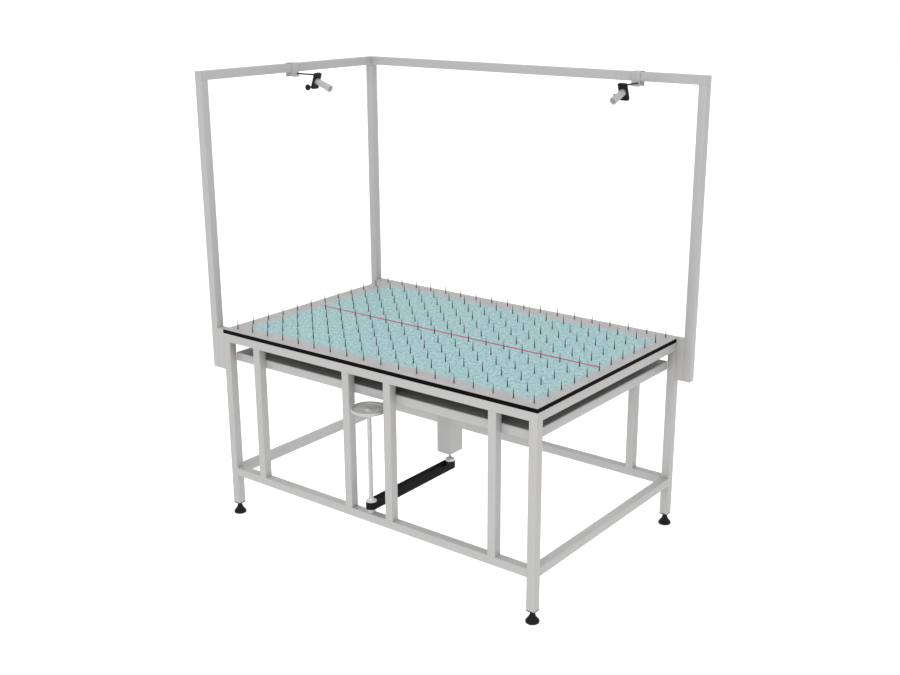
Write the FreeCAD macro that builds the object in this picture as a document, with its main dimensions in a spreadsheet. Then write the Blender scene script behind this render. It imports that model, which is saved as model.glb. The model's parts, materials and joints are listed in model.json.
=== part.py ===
import FreeCAD, Part
import math
import os
import re
import Sketcher
from FreeCAD import Placement, Rotation, Vector

# Fabric spreading table with retractable pins and two line lasers on a gantry.
# The origin is the centre of the worktop's upper face. +X runs to the right along
# the front, +Y runs to the back and +Z is up. The floor is worktop_height below.

DRIVING_SIZES = {
    # Table, worktop and square tube
    "table_length": 1800,
    "table_width": 1200,
    "worktop_height": 955,
    "board_thickness": 18,
    "edge_band_thickness": 2,
    "tube_size": 40,
    "tube_wall": 2,
    "outer_post_distance": 680,
    "inner_post_distance": 120,
    "lower_rail_drop": 706,
    # Lifting frame below the worktop
    "lift_frame_gap": 60,
    "lift_panel_thickness": 2,
    "lift_panel_margin": 2,
    # Gantry
    "gantry_height": 1160,
    "spacer_height": 200,
    "end_cap_thickness": 2,
    "end_cap_plug_depth": 12,
    # Pins and their plate
    "pin_pitch": 100,
    "pin_edge_distance": 50,
    "pin_reach": 44,
    "pin_radius": 2.4,
    "pin_hole_radius": 3.6,
    "pin_plate_thickness": 12,
    "pin_plate_drop": 24,
    "pin_plate_margin": 3,
    # Guides of the pin plate
    "guide_offset_x": 600,
    "guide_offset_y": 300,
    "guide_rod_radius": 8,
    "guide_bush_radius": 14,
    "guide_bush_flange_radius": 20,
    "guide_bush_flange_thickness": 4,
    # Jack in the middle
    "jack_box_width": 80,
    "jack_box_depth": 100,
    "jack_box_belt_gap": 55,
    "jack_box_wall": 3,
    "jack_box_floor": 6,
    "jack_bearing_radius": 15,
    "jack_bearing_flange_radius": 24,
    "jack_bearing_flange_thickness": 5,
    "lift_tube_radius": 19,
    "lift_tube_bore_radius": 14,
    "lift_tube_end_drop": 300,
    "lift_flange_radius": 45,
    "lift_flange_thickness": 6,
    "lift_nut_length": 40,
    "lift_nut_spigot": 12,
    "lift_guide_radius": 26,
    "lift_guide_flange_radius": 36,
    "lift_guide_flange_thickness": 4,
    "lift_guide_depth": 16,
    "screw_radius": 10,
    "screw_top_drop": 220,
    "spindle_radius": 6,
    # Belt drive
    "belt_rail_gap": 21,
    "belt_width": 35,
    "belt_thickness": 4,
    "belt_radius": 25,
    "pulley_flange_radius": 24.5,
    "pulley_flange_thickness": 4,
    "pulley_hub_height": 12,
    "pulley_hub_radius": 16,
    "screw_pulley_rim_radius": 22,
    "screw_pulley_rim_height": 12,
    "screw_pulley_rim_width": 4,
    "screw_pulley_dish_depth": 6,
    "screw_pulley_hub_radius": 10,
    # Handwheel and its shaft
    "shaft_radius": 10,
    "shaft_journal_radius": 8,
    "shaft_journal_length": 12,
    "shaft_bearing_radius": 18,
    "shaft_bearing_gap": 1.5,
    "handwheel_radius": 80,
    "handwheel_drop": 200,
    "handwheel_depth": 16,
    "handwheel_rim_width": 9,
    "handwheel_web_thickness": 5,
    "handwheel_hub_radius": 17,
    "handwheel_hub_height": 22,
    # Levelling feet
    "foot_height": 53,
    "foot_radius": 30,
    "foot_skirt_height": 9,
    "foot_bell_radius": 18,
    "foot_bell_height": 24,
    "foot_waist_radius": 12,
    "foot_waist_height": 36,
    "foot_neck_radius": 11,
    "foot_neck_height": 48.5,
    "foot_stem_radius": 5,
    "foot_stem_length": 32,
    "foot_plate_thickness": 5,
    "foot_plug_depth": 25,
    # Laser units
    "laser_offset_left": -3.5,
    "laser_offset_back": 630,
    "saddle_width": 43,
    "saddle_sheet": 3,
    "saddle_reach": 64,
    "arm_side_distance": 12,
    "arm_drop": 29,
    "arm_radius": 3.8,
    "arm_length": 146,
    "arm_spigot_radius": 3,
    "arm_rivet_radius": 5.5,
    "arm_rivet_height": 1.5,
    "arm_pin_radius": 2,
    "pivot_eye_radius": 4.5,
    "pivot_eye_width": 8,
    "pivot_ear_thickness": 5,
    "pivot_setback": 5,
    "pivot_rise": 26,
    "holder_width": 45,
    "holder_length": 80,
    "holder_thickness": 12,
    "holder_corner_radius": 6,
    "holder_slit": 2,
    "barrel_radius": 15.5,
    "barrel_length": 103,
    "barrel_head_radius": 17,
    "barrel_head_length": 28,
    "barrel_aperture_radius": 11,
    "barrel_aperture_depth": 4,
    "clamp_screw_drop": 30,
    "clamp_screw_radius": 3,
    "clamp_stem_radius": 4,
    "clamp_stem_length": 22,
    "clamp_knob_radius": 15,
    "clamp_knob_thickness": 9,
    # Clearances and the overrun of cutting tools
    "running_clearance": 0.05,
    "loose_clearance": 0.3,
    "overrun": 1,
}
BARREL_TILT_DEGREES = 20

# Levels, as formulas of the driving sizes
TOP_RAIL_Z = "-board_thickness - tube_size"
LOWER_RAIL_Z = "-lower_rail_drop - tube_size"
LIFT_FRAME_TOP = "-board_thickness - tube_size - lift_frame_gap"
LIFT_FRAME_Z = LIFT_FRAME_TOP + " - tube_size"
PANEL_TOP = LIFT_FRAME_TOP + " + lift_panel_thickness"
PIN_PLATE_Z = "-pin_plate_drop - pin_plate_thickness"
BELT_Z = "-lower_rail_drop + belt_rail_gap"
BELT_TOP = BELT_Z + " + belt_width"
PULLEY_Z = BELT_Z + " - pulley_flange_thickness"
JACK_BOX_Z = BELT_TOP + " + jack_box_belt_gap"
BEARING_HEIGHT = "belt_rail_gap - pulley_flange_thickness - shaft_bearing_gap"
LEG_BOTTOM = "-worktop_height + foot_height + foot_plate_thickness"

OUTLINE_START = 2
PARALLEL_TOLERANCE = 1e-6
HOLE_SIDES = 4
PIN_SIDES = 4
QUARTER_TURN_DEGREES = 90

ALONG_X = Rotation(Vector(0, 1, 0), 90)
ALONG_Y = Rotation(Vector(1, 0, 0), -90)
AGAINST_Y = Rotation(Vector(1, 0, 0), 90)

doc = FreeCAD.newDocument("spreading_table")
sheet = doc.addObject("Spreadsheet::Sheet", "Sizes")
for row, (alias, number) in enumerate(DRIVING_SIZES.items(), start=1):
    sheet.set(f"A{row}", alias)
    sheet.set(f"B{row}", str(number))
    sheet.setAlias(f"B{row}", alias)
doc.recompute()

sub_parts = []


def size(alias):
    """Read one driving size from the sheet."""
    return float(sheet.get(alias))


def formula(text):
    """Point each alias in a formula at its cell of the sheet."""
    return re.sub(r"[a-z_]+", lambda found: "Sizes." + found.group(), str(text))


def bind(thing, **formulas):
    """Bind properties of an object to formulas of the sheet."""
    for name, text in formulas.items():
        thing.setExpression(name, formula(text))
    return thing


def put(thing, corner, rotation=None):
    """Bind the object's place to three formulas, after turning it."""
    if rotation is not None:
        thing.Placement = Placement(Vector(0, 0, 0), rotation)
    for axis, text in zip("xyz", corner):
        thing.setExpression(f"Placement.Base.{axis}", formula(text))
    return thing


def keep(thing):
    """Mark an object as a sub-part, to be written to a file of its own."""
    sub_parts.append(thing)
    return thing


def box(label, lengths, corner):
    """Block with its lower corner at the given place."""
    block = doc.addObject("Part::Box", label)
    bind(block, Length=lengths[0], Width=lengths[1], Height=lengths[2])
    return put(block, corner)


def cylinder(label, radius, height, base, rotation=None):
    """Round bar that starts at its base and runs up, or along the turned axis."""
    bar = doc.addObject("Part::Cylinder", label)
    bind(bar, Radius=radius, Height=height)
    return put(bar, base, rotation)


def cut(label, base, tool):
    """The base less the tool."""
    result = doc.addObject("Part::Cut", label)
    result.Base = base
    result.Tool = tool
    return result


def join(label, shapes):
    """One solid from overlapping or touching shapes."""
    result = doc.addObject("Part::MultiFuse", label)
    result.Shapes = shapes
    result.Refine = True
    return result


def group(label, shapes):
    """Alike pieces that share a node, each a solid of its own."""
    result = doc.addObject("Part::Compound", label)
    result.Links = shapes
    return result


def grown(text, extra):
    """A formula with an amount added to it."""
    return f"({text}) + {extra}"


def tube(label, axis, length, corner):
    """Square tube along one axis, open at both ends."""
    outer_lengths = ["tube_size", "tube_size", "tube_size"]
    inner_lengths = ["tube_size - 2 * tube_wall"] * 3
    inner_corner = [grown(text, "tube_wall") for text in corner]
    index = "xyz".index(axis)
    outer_lengths[index] = length
    inner_lengths[index] = grown(length, "2 * overrun")
    inner_corner[index] = grown(corner[index], "(-overrun)")
    outer = box(label + "_outside", outer_lengths, corner)
    inner = box(label + "_inside", inner_lengths, inner_corner)
    return cut(label, outer, inner)


def at_edge(side, reach):
    """Lower coordinate of a tube whose outer face lies at the reach on one side."""
    if side < 0:
        return f"-({reach})"
    return f"({reach}) - tube_size"


def origin_plane(body, role):
    """The body's own origin plane of that role."""
    for feature in body.Origin.OriginFeatures:
        if feature.Role == role:
            return feature
    raise ValueError(role)


def outline(body, name, role, corners):
    """Closed outline whose corners are bound to pairs of formulas.

    The corners start on a small circle, and their bound distances from the
    sketch's axes then carry them to their places.
    """
    sketch = body.newObject("Sketcher::SketchObject", name)
    sketch.AttachmentSupport = (origin_plane(body, role), [""])
    sketch.MapMode = "FlatFace"
    count = len(corners)
    turns = [2 * math.pi * index / count for index in range(count)]
    centre = Vector(OUTLINE_START, OUTLINE_START, 0)
    starts = [centre + Vector(math.cos(turn), math.sin(turn), 0) for turn in turns]
    for start, end in zip(starts, starts[1:] + starts[:1]):
        sketch.addGeometry(Part.LineSegment(start, end), False)
    for index in range(count):
        sketch.addConstraint(Sketcher.Constraint("Coincident", index, 2, (index + 1) % count, 1))
    for index, corner in enumerate(corners):
        place_corner(sketch, index, "DistanceX", -2, corner[0], starts[index].x)
        place_corner(sketch, index, "DistanceY", -1, corner[1], starts[index].y)
    return sketch


def place_corner(sketch, index, kind, axis, text, start):
    """Hold one coordinate of an outline's corner on an axis or at a formula."""
    if text == 0:
        sketch.addConstraint(Sketcher.Constraint("PointOnObject", index, 1, axis))
        return
    number = sketch.addConstraint(Sketcher.Constraint(kind, -1, 1, index, 1, start))
    sketch.setExpression(f"Constraints[{number}]", formula(text))


def turned(label, corners, base=None):
    """Piece turned on a lathe from pairs of radius and height, stood at its base."""
    body = doc.addObject("PartDesign::Body", label)
    sketch = outline(body, label + "_outline", "XZ_Plane", corners)
    turning = body.newObject("PartDesign::Revolution", label + "_turning")
    turning.Profile = sketch
    turning.ReferenceAxis = (sketch, ["V_Axis"])
    turning.Angle = 360
    if base is not None:
        put(body, base)
    return body


def rounded(body, label, radius, chosen):
    """Round the chosen edges of a body's solid."""
    doc.recompute()
    base = body.Tip
    names = [f"Edge{number}" for number, edge in enumerate(base.Shape.Edges, start=1) if chosen(edge)]
    rounding = body.newObject("PartDesign::Fillet", label)
    rounding.Base = (base, names)
    bind(rounding, Radius=radius)
    return body


def bored(label, thing, radius, height, base, rotation=None):
    """The thing with one round hole."""
    drill = cylinder(label + "_drill", radius, height, base, rotation)
    return cut(label, thing, drill)


def sides(names):
    """Pair two names with the low and the high side."""
    return zip((-1, 1), names)


def make_rails(prefix, low):
    """Four tubes along the table's edges that stop at the corner legs."""
    for side, name in sides(("front", "back")):
        corner = ("-table_length / 2 + tube_size", at_edge(side, "table_width / 2"), low)
        keep(tube(f"{prefix}_{name}", "x", "table_length - 2 * tube_size", corner))
    for side, name in sides(("left", "right")):
        corner = (at_edge(side, "table_length / 2"), "-table_width / 2 + tube_size", low)
        keep(tube(f"{prefix}_{name}", "y", "table_width - 2 * tube_size", corner))


def mitred_tube(label, length, corner, quarters):
    """Square tube with mitred ends, turned by quarters about the end of its long face."""
    outside = doc.addObject("Part::Wedge", label + "_outside")
    bind(
        outside, Xmin=0, Xmax=length, X2min="tube_size", X2max=f"{length} - tube_size",
        Ymin=0, Ymax="tube_size", Zmin=0, Zmax="tube_size", Z2min=0, Z2max="tube_size",
    )
    bore = "tube_size - 2 * tube_wall"
    inside = box(
        label + "_inside", (f"{length} + 2 * overrun", bore, bore), ("-overrun", "tube_wall", "tube_wall"),
    )
    turn = Rotation(Vector(0, 0, 1), QUARTER_TURN_DEGREES * quarters)
    return put(cut(label, outside, inside), corner, turn)


def make_legs():
    """Corner legs, from the board's underside to the plates of the feet."""
    for side_y, depth in sides(("front", "back")):
        for side_x, name in sides(("left", "right")):
            corner = (at_edge(side_x, "table_length / 2"), at_edge(side_y, "table_width / 2"), LEG_BOTTOM)
            keep(tube(f"leg_{depth}_{name}", "z", f"-board_thickness - ({LEG_BOTTOM})", corner))


def make_posts():
    """Upright tubes between the top and lower rails, four in front and four behind."""
    for side, depth in sides(("front", "back")):
        posts = []
        row = at_edge(side, "table_width / 2")
        height = f"lower_rail_drop + ({TOP_RAIL_Z})"
        for place, distance in enumerate(("outer_post_distance", "inner_post_distance")):
            for sign in (-1, 1):
                corner = (f"{sign} * {distance} - tube_size / 2", row, "-lower_rail_drop")
                posts.append(tube(f"{depth}_post_{place}_{sign + 1}", "z", height, corner))
        keep(group(f"{depth}_posts", posts))


def make_lift_frame():
    """Mitred frame below the worktop for the jack, with its cross tubes and panel."""
    half_length = "(table_length / 2 - tube_size)"
    half_width = "(table_width / 2 - tube_size)"
    for quarters, (name, half_run, left, front) in enumerate((
        ("front", half_length, f"-{half_length}", f"-{half_width}"),
        ("right", half_width, half_length, f"-{half_width}"),
        ("back", half_length, half_length, half_width),
        ("left", half_width, f"-{half_length}", half_width),
    )):
        keep(mitred_tube(f"lift_frame_{name}", f"2 * {half_run}", (left, front, LIFT_FRAME_Z), quarters))
    cross_tubes = []
    for side, name in sides(("left", "right")):
        left = "-jack_box_width / 2 - tube_size" if side < 0 else "jack_box_width / 2"
        corner = (left, f"-{half_width} + tube_size", LIFT_FRAME_Z)
        cross_tubes.append(tube(f"cross_tube_{name}", "y", f"2 * ({half_width} - tube_size)", corner))
    keep(group("lift_frame_cross_tubes", cross_tubes))
    reach_x = f"({half_length} - lift_panel_margin)"
    reach_y = f"({half_width} - lift_panel_margin)"
    sheet_metal = box(
        "lift_panel_sheet",
        (f"2 * {reach_x}", f"2 * {reach_y}", "lift_panel_thickness"),
        (f"-{reach_x}", f"-{reach_y}", LIFT_FRAME_TOP),
    )
    keep(bored(
        "lift_frame_panel", sheet_metal, "lift_guide_radius", "lift_panel_thickness + 2 * overrun",
        (0, 0, LIFT_FRAME_TOP + " - overrun"),
    ))


def end_cap(label, axis, side, face):
    """Cap with a plug that closes a square tube. The face is the cap's outer centre."""
    index = "xyz".index(axis)
    plug_width = "(tube_size - 2 * tube_wall - 2 * loose_clearance)"
    parts = []
    for name, width, depth, start in (
        ("plate", "tube_size", "end_cap_thickness", "0"),
        ("plug", plug_width, "end_cap_plug_depth", "end_cap_thickness"),
    ):
        lengths = [width] * 3
        corner = [f"({text}) - {width} / 2" for text in face]
        lengths[index] = depth
        inward = start if side < 0 else f"-({start} + {depth})"
        corner[index] = grown(face[index], f"({inward})")
        parts.append(box(f"{label}_{name}", lengths, corner))
    return join(label, parts)


def make_gantry():
    """Posts on spacers beside the table, and the two bars that carry the lasers."""
    half_length = "table_length / 2"
    outer = "table_length / 2 + 2 * tube_size"
    centre = "(table_length / 2 + 3 * tube_size / 2)"
    row = "(table_width / 2 - tube_size / 2)"
    cap = "end_cap_thickness"
    caps = []
    spacers = []
    for side_x, side_y, name in ((-1, -1, "front_left"), (-1, 1, "back_left"), (1, 1, "back_right")):
        corner = (at_edge(side_x, outer), at_edge(side_y, "table_width / 2"), f"-spacer_height + {cap}")
        keep(tube(f"gantry_post_{name}", "z", f"gantry_height + spacer_height - {cap}", corner))
        foot_face = (f"{side_x} * {centre}", f"{side_y} * {row}", "-spacer_height")
        caps.append(end_cap(f"post_cap_{name}", "z", -1, foot_face))
        spacer_left = f"-({half_length}) - tube_size" if side_x < 0 else half_length
        corner = (spacer_left, at_edge(side_y, "table_width / 2"), f"-spacer_height + {cap}")
        spacers.append(tube(f"spacer_{name}", "z", f"spacer_height - 2 * {cap}", corner))
        spacer_centre = f"{side_x} * ({half_length} + tube_size / 2)"
        for side_z, level in ((-1, "-spacer_height"), (1, "0")):
            face = (spacer_centre, f"{side_y} * {row}", level)
            caps.append(end_cap(f"spacer_cap_{name}_{side_z + 1}", "z", side_z, face))
    keep(group("gantry_spacers", spacers))
    level = "gantry_height + tube_size / 2"
    corner = (f"-({outer})", f"-table_width / 2 + {cap}", "gantry_height")
    keep(tube("laser_bar_left", "y", f"table_width - tube_size - {cap}", corner))
    caps.append(end_cap("left_bar_cap", "y", -1, (f"-{centre}", "-table_width / 2", level)))
    corner = (f"-({outer}) + {cap}", at_edge(1, "table_width / 2"), "gantry_height")
    keep(tube("laser_bar_back", "x", f"2 * ({outer}) - 2 * {cap}", corner))
    for side in (-1, 1):
        caps.append(end_cap(f"back_bar_cap_{side + 1}", "x", side, (f"{side} * ({outer})", row, level)))
    keep(group("gantry_end_caps", caps))


def pin_places():
    """Centres of the pins on their square grid."""
    pitch = size("pin_pitch")
    margin = size("pin_edge_distance")
    places = []
    rows = []
    for length in (size("table_length"), size("table_width")):
        count = int((length - 2 * margin) // pitch) + 1
        start = -(count - 1) * pitch / 2
        rows.append([start + index * pitch for index in range(count)])
    for x in rows[0]:
        for y in rows[1]:
            places.append(Vector(x, y, 0))
    return places


def polygon(radius, sides_count, level):
    """Corners of a regular polygon about the Z axis at one level."""
    turns = [2 * math.pi * (index + 0.5) / sides_count for index in range(sides_count)]
    return [Vector(radius * math.cos(turn), radius * math.sin(turn), level) for turn in turns]


def shaped(label, shape):
    """Object that holds a shape worked out from the sheet's sizes."""
    thing = doc.addObject("Part::Feature", label)
    thing.Shape = shape
    thing.Placement = Placement()
    return keep(thing)


def make_worktop():
    """Board with a hole for every pin, and the band round its edges."""
    band = size("edge_band_thickness")
    half_length = size("table_length") / 2 - band
    half_width = size("table_width") / 2 - band
    thickness = size("board_thickness")
    outer = [
        Vector(-half_length, -half_width, 0),
        Vector(half_length, -half_width, 0),
        Vector(half_length, half_width, 0),
        Vector(-half_length, half_width, 0),
    ]
    hole = polygon(size("pin_hole_radius"), HOLE_SIDES, 0)
    wires = [Part.makePolygon(outer + outer[:1])]
    for place in pin_places():
        corners = [place + corner for corner in hole]
        wires.append(Part.makePolygon(corners + corners[:1]))
    face = Part.Face(wires, "Part::FaceMakerBullseye")
    shaped("table_board", face.extrude(Vector(0, 0, -thickness)))

    full = ("table_length", "table_width", "board_thickness")
    block = box("edge_band_outside", full, ("-table_length / 2", "-table_width / 2", "-board_thickness"))
    band_inner = box(
        "edge_band_inside",
        ("table_length - 2 * edge_band_thickness", "table_width - 2 * edge_band_thickness",
         "board_thickness + 2 * overrun"),
        ("-table_length / 2 + edge_band_thickness", "-table_width / 2 + edge_band_thickness",
         "-board_thickness - overrun"),
    )
    keep(cut("edge_band", block, band_inner))


def make_pins():
    """Pointed pins that stand on their plate, each tapering to its tip."""
    foot = polygon(size("pin_radius"), PIN_SIDES, -size("pin_plate_drop"))
    tip = Vector(0, 0, size("pin_reach"))
    faces = [Part.Face(Part.makePolygon(foot + foot[:1]))]
    for start, end in zip(foot, foot[1:] + foot[:1]):
        faces.append(Part.Face(Part.makePolygon([start, end, tip, start])))
    pin = Part.makeSolid(Part.makeShell(faces))
    if pin.Volume < 0:
        pin.reverse()
    shaped("pins", Part.makeCompound([pin.translated(place) for place in pin_places()]))


def make_pin_plate():
    """Plate that carries the pins, its guide bushes and the rods they slide on."""
    reach_x = "(table_length / 2 - tube_size - pin_plate_margin)"
    reach_y = "(table_width / 2 - tube_size - pin_plate_margin)"
    blank = box(
        "pin_plate_blank",
        (f"2 * {reach_x}", f"2 * {reach_y}", "pin_plate_thickness"),
        (f"-{reach_x}", f"-{reach_y}", PIN_PLATE_Z),
    )
    drills = []
    rods = []
    bushes = []
    bush_low = f"{PIN_PLATE_Z} - guide_bush_flange_thickness"
    for side_x in (-1, 1):
        for side_y in (-1, 1):
            name = f"{side_x + 1}_{side_y + 1}"
            spot = (f"{side_x} * guide_offset_x", f"{side_y} * guide_offset_y")
            drills.append(cylinder(
                f"plate_drill_{name}", "guide_bush_radius", "pin_plate_thickness + 2 * overrun",
                spot + (PIN_PLATE_Z + " - overrun",),
            ))
            rods.append(cylinder(
                f"guide_rod_{name}", "guide_rod_radius",
                f"-board_thickness - ({PANEL_TOP})", spot + (PANEL_TOP,),
            ))
            bore = "guide_rod_radius + running_clearance"
            flange = "guide_bush_flange_thickness"
            bushes.append(turned(f"guide_bush_{name}", (
                (bore, 0),
                ("guide_bush_flange_radius", 0),
                ("guide_bush_flange_radius", flange),
                ("guide_bush_radius", flange),
                ("guide_bush_radius", f"{flange} + pin_plate_thickness"),
                (bore, f"{flange} + pin_plate_thickness"),
            ), spot + (bush_low,)))
    keep(cut("pin_plate", blank, join("plate_drills", drills)))
    keep(group("guide_rods", rods))
    keep(group("guide_bushes", bushes))


def make_jack():
    """Jack box with the screw, nut and lifting tube that raise the pin plate."""
    width = "jack_box_width"
    depth = "jack_box_depth"
    wall = "jack_box_wall"
    height = f"{LIFT_FRAME_TOP} - ({JACK_BOX_Z})"
    corner = (f"-{width} / 2", f"-{depth} / 2", JACK_BOX_Z)
    shell = box("jack_box_outside", (width, depth, height), corner)
    hollow = box(
        "jack_box_inside",
        (f"{width} - 2 * {wall}", f"{depth} - 2 * {wall}", f"{height} - jack_box_floor + overrun"),
        (f"-{width} / 2 + {wall}", f"-{depth} / 2 + {wall}", f"{JACK_BOX_Z} + jack_box_floor"),
    )
    keep(bored(
        "jack_box", cut("jack_box_shell", shell, hollow),
        "jack_bearing_radius", "jack_box_floor + 2 * overrun", (0, 0, f"{JACK_BOX_Z} - overrun"),
    ))
    flange = "jack_box_floor + jack_bearing_flange_thickness"
    keep(turned("jack_bearing", (
        ("spindle_radius + running_clearance", 0),
        ("jack_bearing_radius", 0),
        ("jack_bearing_radius", "jack_box_floor"),
        ("jack_bearing_flange_radius", "jack_box_floor"),
        ("jack_bearing_flange_radius", flange),
        ("spindle_radius + running_clearance", flange),
    ), (0, 0, JACK_BOX_Z)))

    shoulder = f"{JACK_BOX_Z} + {flange} + loose_clearance - ({PULLEY_Z})"
    keep(turned("jack_screw", (
        (0, 0),
        ("spindle_radius", 0),
        ("spindle_radius", shoulder),
        ("screw_radius", shoulder),
        ("screw_radius", f"-screw_top_drop - ({PULLEY_Z})"),
        (0, f"-screw_top_drop - ({PULLEY_Z})"),
    ), (0, 0, PULLEY_Z)))

    nut_low = "-lift_tube_end_drop - lift_nut_length"
    keep(turned("lift_nut", (
        ("screw_radius + running_clearance", 0),
        ("lift_tube_radius", 0),
        ("lift_tube_radius", "lift_nut_length"),
        ("lift_tube_bore_radius", "lift_nut_length"),
        ("lift_tube_bore_radius", "lift_nut_length + lift_nut_spigot"),
        ("screw_radius + running_clearance", "lift_nut_length + lift_nut_spigot"),
    ), (0, 0, nut_low)))

    top = f"{PIN_PLATE_Z} + lift_tube_end_drop"
    keep(turned("lift_tube", (
        ("lift_tube_bore_radius", 0),
        ("lift_tube_radius", 0),
        ("lift_tube_radius", f"{top} - lift_flange_thickness"),
        ("lift_flange_radius", f"{top} - lift_flange_thickness"),
        ("lift_flange_radius", top),
        ("lift_tube_bore_radius", top),
    ), (0, 0, "-lift_tube_end_drop")))

    below = "lift_guide_depth"
    keep(turned("lift_guide", (
        ("lift_tube_radius + running_clearance", 0),
        ("lift_guide_radius", 0),
        ("lift_guide_radius", below),
        ("lift_guide_flange_radius", below),
        ("lift_guide_flange_radius", f"{below} + lift_guide_flange_thickness"),
        ("lift_tube_radius + running_clearance", f"{below} + lift_guide_flange_thickness"),
    ), (0, 0, f"{PANEL_TOP} - {below}")))


def belt_loop(label, radius, height, low):
    """Solid bounded by a belt's path round both pulleys at one radius."""
    row = "(table_width / 2 - tube_size / 2)"
    return join(label, [
        cylinder(label + "_near", radius, height, (0, f"-{row}", low)),
        cylinder(label + "_far", radius, height, (0, 0, low)),
        box(label + "_runs", (f"2 * ({radius})", row, height), (f"-({radius})", f"-{row}", low)),
    ])


def pulley(label, bore, spot, above_belt):
    """Flat pulley, with pairs of radius and height for its part above the belt."""
    crown = "belt_radius - belt_thickness - loose_clearance"
    belt_top = "pulley_flange_thickness + belt_width"
    corners = [(bore, 0), (crown, 0), (crown, belt_top)]
    for radius, height in above_belt:
        corners.append((radius, f"{belt_top} + {height}"))
    keep(turned(label, corners, spot + (PULLEY_Z,)))


def make_drive():
    """Handwheel, its shaft and bearing, and the belt that turns the jack screw."""
    row = "(table_width / 2 - tube_size / 2)"
    outer = belt_loop("belt_outside", "belt_radius", "belt_width", BELT_Z)
    inner = belt_loop(
        "belt_inside", "belt_radius - belt_thickness", "belt_width + 2 * overrun", BELT_Z + " - overrun",
    )
    keep(cut("drive_belt", outer, inner))
    flange = "pulley_flange_thickness"
    pulley("shaft_pulley", "shaft_radius", (0, f"-{row}"), (
        ("pulley_flange_radius", 0),
        ("pulley_flange_radius", flange),
        ("pulley_hub_radius", flange),
        (f"shaft_radius + {flange} / 2", f"{flange} + pulley_hub_height"),
        ("shaft_radius", f"{flange} + pulley_hub_height"),
    ))
    rim = "screw_pulley_rim_height"
    dish = f"{rim} - screw_pulley_dish_depth"
    pulley("screw_pulley", "spindle_radius", (0, 0), (
        ("screw_pulley_rim_radius", 0),
        ("screw_pulley_rim_radius", rim),
        ("screw_pulley_rim_radius - screw_pulley_rim_width", rim),
        ("screw_pulley_rim_radius - screw_pulley_rim_width", dish),
        ("screw_pulley_hub_radius", dish),
        ("screw_pulley_hub_radius", rim),
        ("spindle_radius", rim),
    ))

    keep(turned("shaft_bearing", (
        ("shaft_journal_radius + running_clearance", 0),
        ("shaft_bearing_radius", 0),
        ("shaft_bearing_radius", BEARING_HEIGHT),
        ("shaft_journal_radius + running_clearance", BEARING_HEIGHT),
    ), (0, f"-{row}", "-lower_rail_drop")))

    shaft_low = f"-lower_rail_drop + {BEARING_HEIGHT} - shaft_journal_length"
    shaft_top = f"-handwheel_drop - ({shaft_low})"
    shoulder = "shaft_journal_length + loose_clearance"
    keep(turned("drive_shaft", (
        (0, 0),
        ("shaft_journal_radius", 0),
        ("shaft_journal_radius", shoulder),
        ("shaft_radius", shoulder),
        ("shaft_radius", shaft_top),
        (0, shaft_top),
    ), (0, f"-{row}", shaft_low)))

    rim = "handwheel_radius - handwheel_rim_width"
    web = "handwheel_hub_height - handwheel_depth"
    wheel = turned("handwheel", (
        ("shaft_radius", 0),
        ("handwheel_hub_radius", 0),
        ("handwheel_hub_radius", web),
        ("handwheel_radius", web),
        ("handwheel_radius", "handwheel_hub_height"),
        (rim, "handwheel_hub_height"),
        (rim, f"{web} + handwheel_web_thickness"),
        ("handwheel_hub_radius", f"{web} + handwheel_web_thickness"),
        ("handwheel_hub_radius", "handwheel_hub_height - handwheel_web_thickness"),
        ("shaft_radius", "handwheel_hub_height - handwheel_web_thickness"),
    ), (0, f"-{row}", "-handwheel_drop - handwheel_hub_height"))
    keep(wheel)


def make_feet():
    """Threaded plugs in the legs' lower ends, and the bell feet screwed into them."""
    plugs = []
    reach_x = "(table_length / 2 - tube_size / 2)"
    reach_y = "(table_width / 2 - tube_size / 2)"
    plug_width = "(tube_size - 2 * tube_wall - 2 * loose_clearance)"
    plate_low = "-worktop_height + foot_height"
    for side_y, depth in sides(("front", "back")):
        for side_x, name in sides(("left", "right")):
            x = f"{side_x} * {reach_x}"
            y = f"{side_y} * {reach_y}"
            plate = box(
                f"foot_plate_{depth}_{name}", ("tube_size", "tube_size", "foot_plate_thickness"),
                (f"{x} - tube_size / 2", f"{y} - tube_size / 2", plate_low),
            )
            plug = box(
                f"foot_plug_body_{depth}_{name}", (plug_width, plug_width, "foot_plug_depth"),
                (f"{x} - {plug_width} / 2", f"{y} - {plug_width} / 2", LEG_BOTTOM),
            )
            plug_height = "foot_plate_thickness + foot_plug_depth"
            plugs.append(bored(
                f"foot_plug_{depth}_{name}", join(f"foot_plug_solid_{depth}_{name}", [plate, plug]),
                "foot_stem_radius + running_clearance", f"{plug_height} + 2 * overrun",
                (x, y, plate_low + " - overrun"),
            ))
            keep(turned(f"foot_{depth}_{name}", (
                (0, 0),
                ("foot_radius", 0),
                ("foot_radius", "foot_skirt_height"),
                ("foot_bell_radius", "foot_bell_height"),
                ("foot_waist_radius", "foot_waist_height"),
                ("foot_neck_radius", "foot_neck_height"),
                ("foot_stem_radius", "foot_neck_height"),
                ("foot_stem_radius", "foot_height + foot_stem_length"),
                (0, "foot_height + foot_stem_length"),
            ), (x, y, "-worktop_height")))
    keep(group("foot_plugs", plugs))


def parallel_to(direction):
    """Test for straight edges that run along a direction."""
    def chosen(edge):
        return edge.tangentAt(edge.FirstParameter).cross(direction).Length < PARALLEL_TOLERANCE
    return chosen


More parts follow.
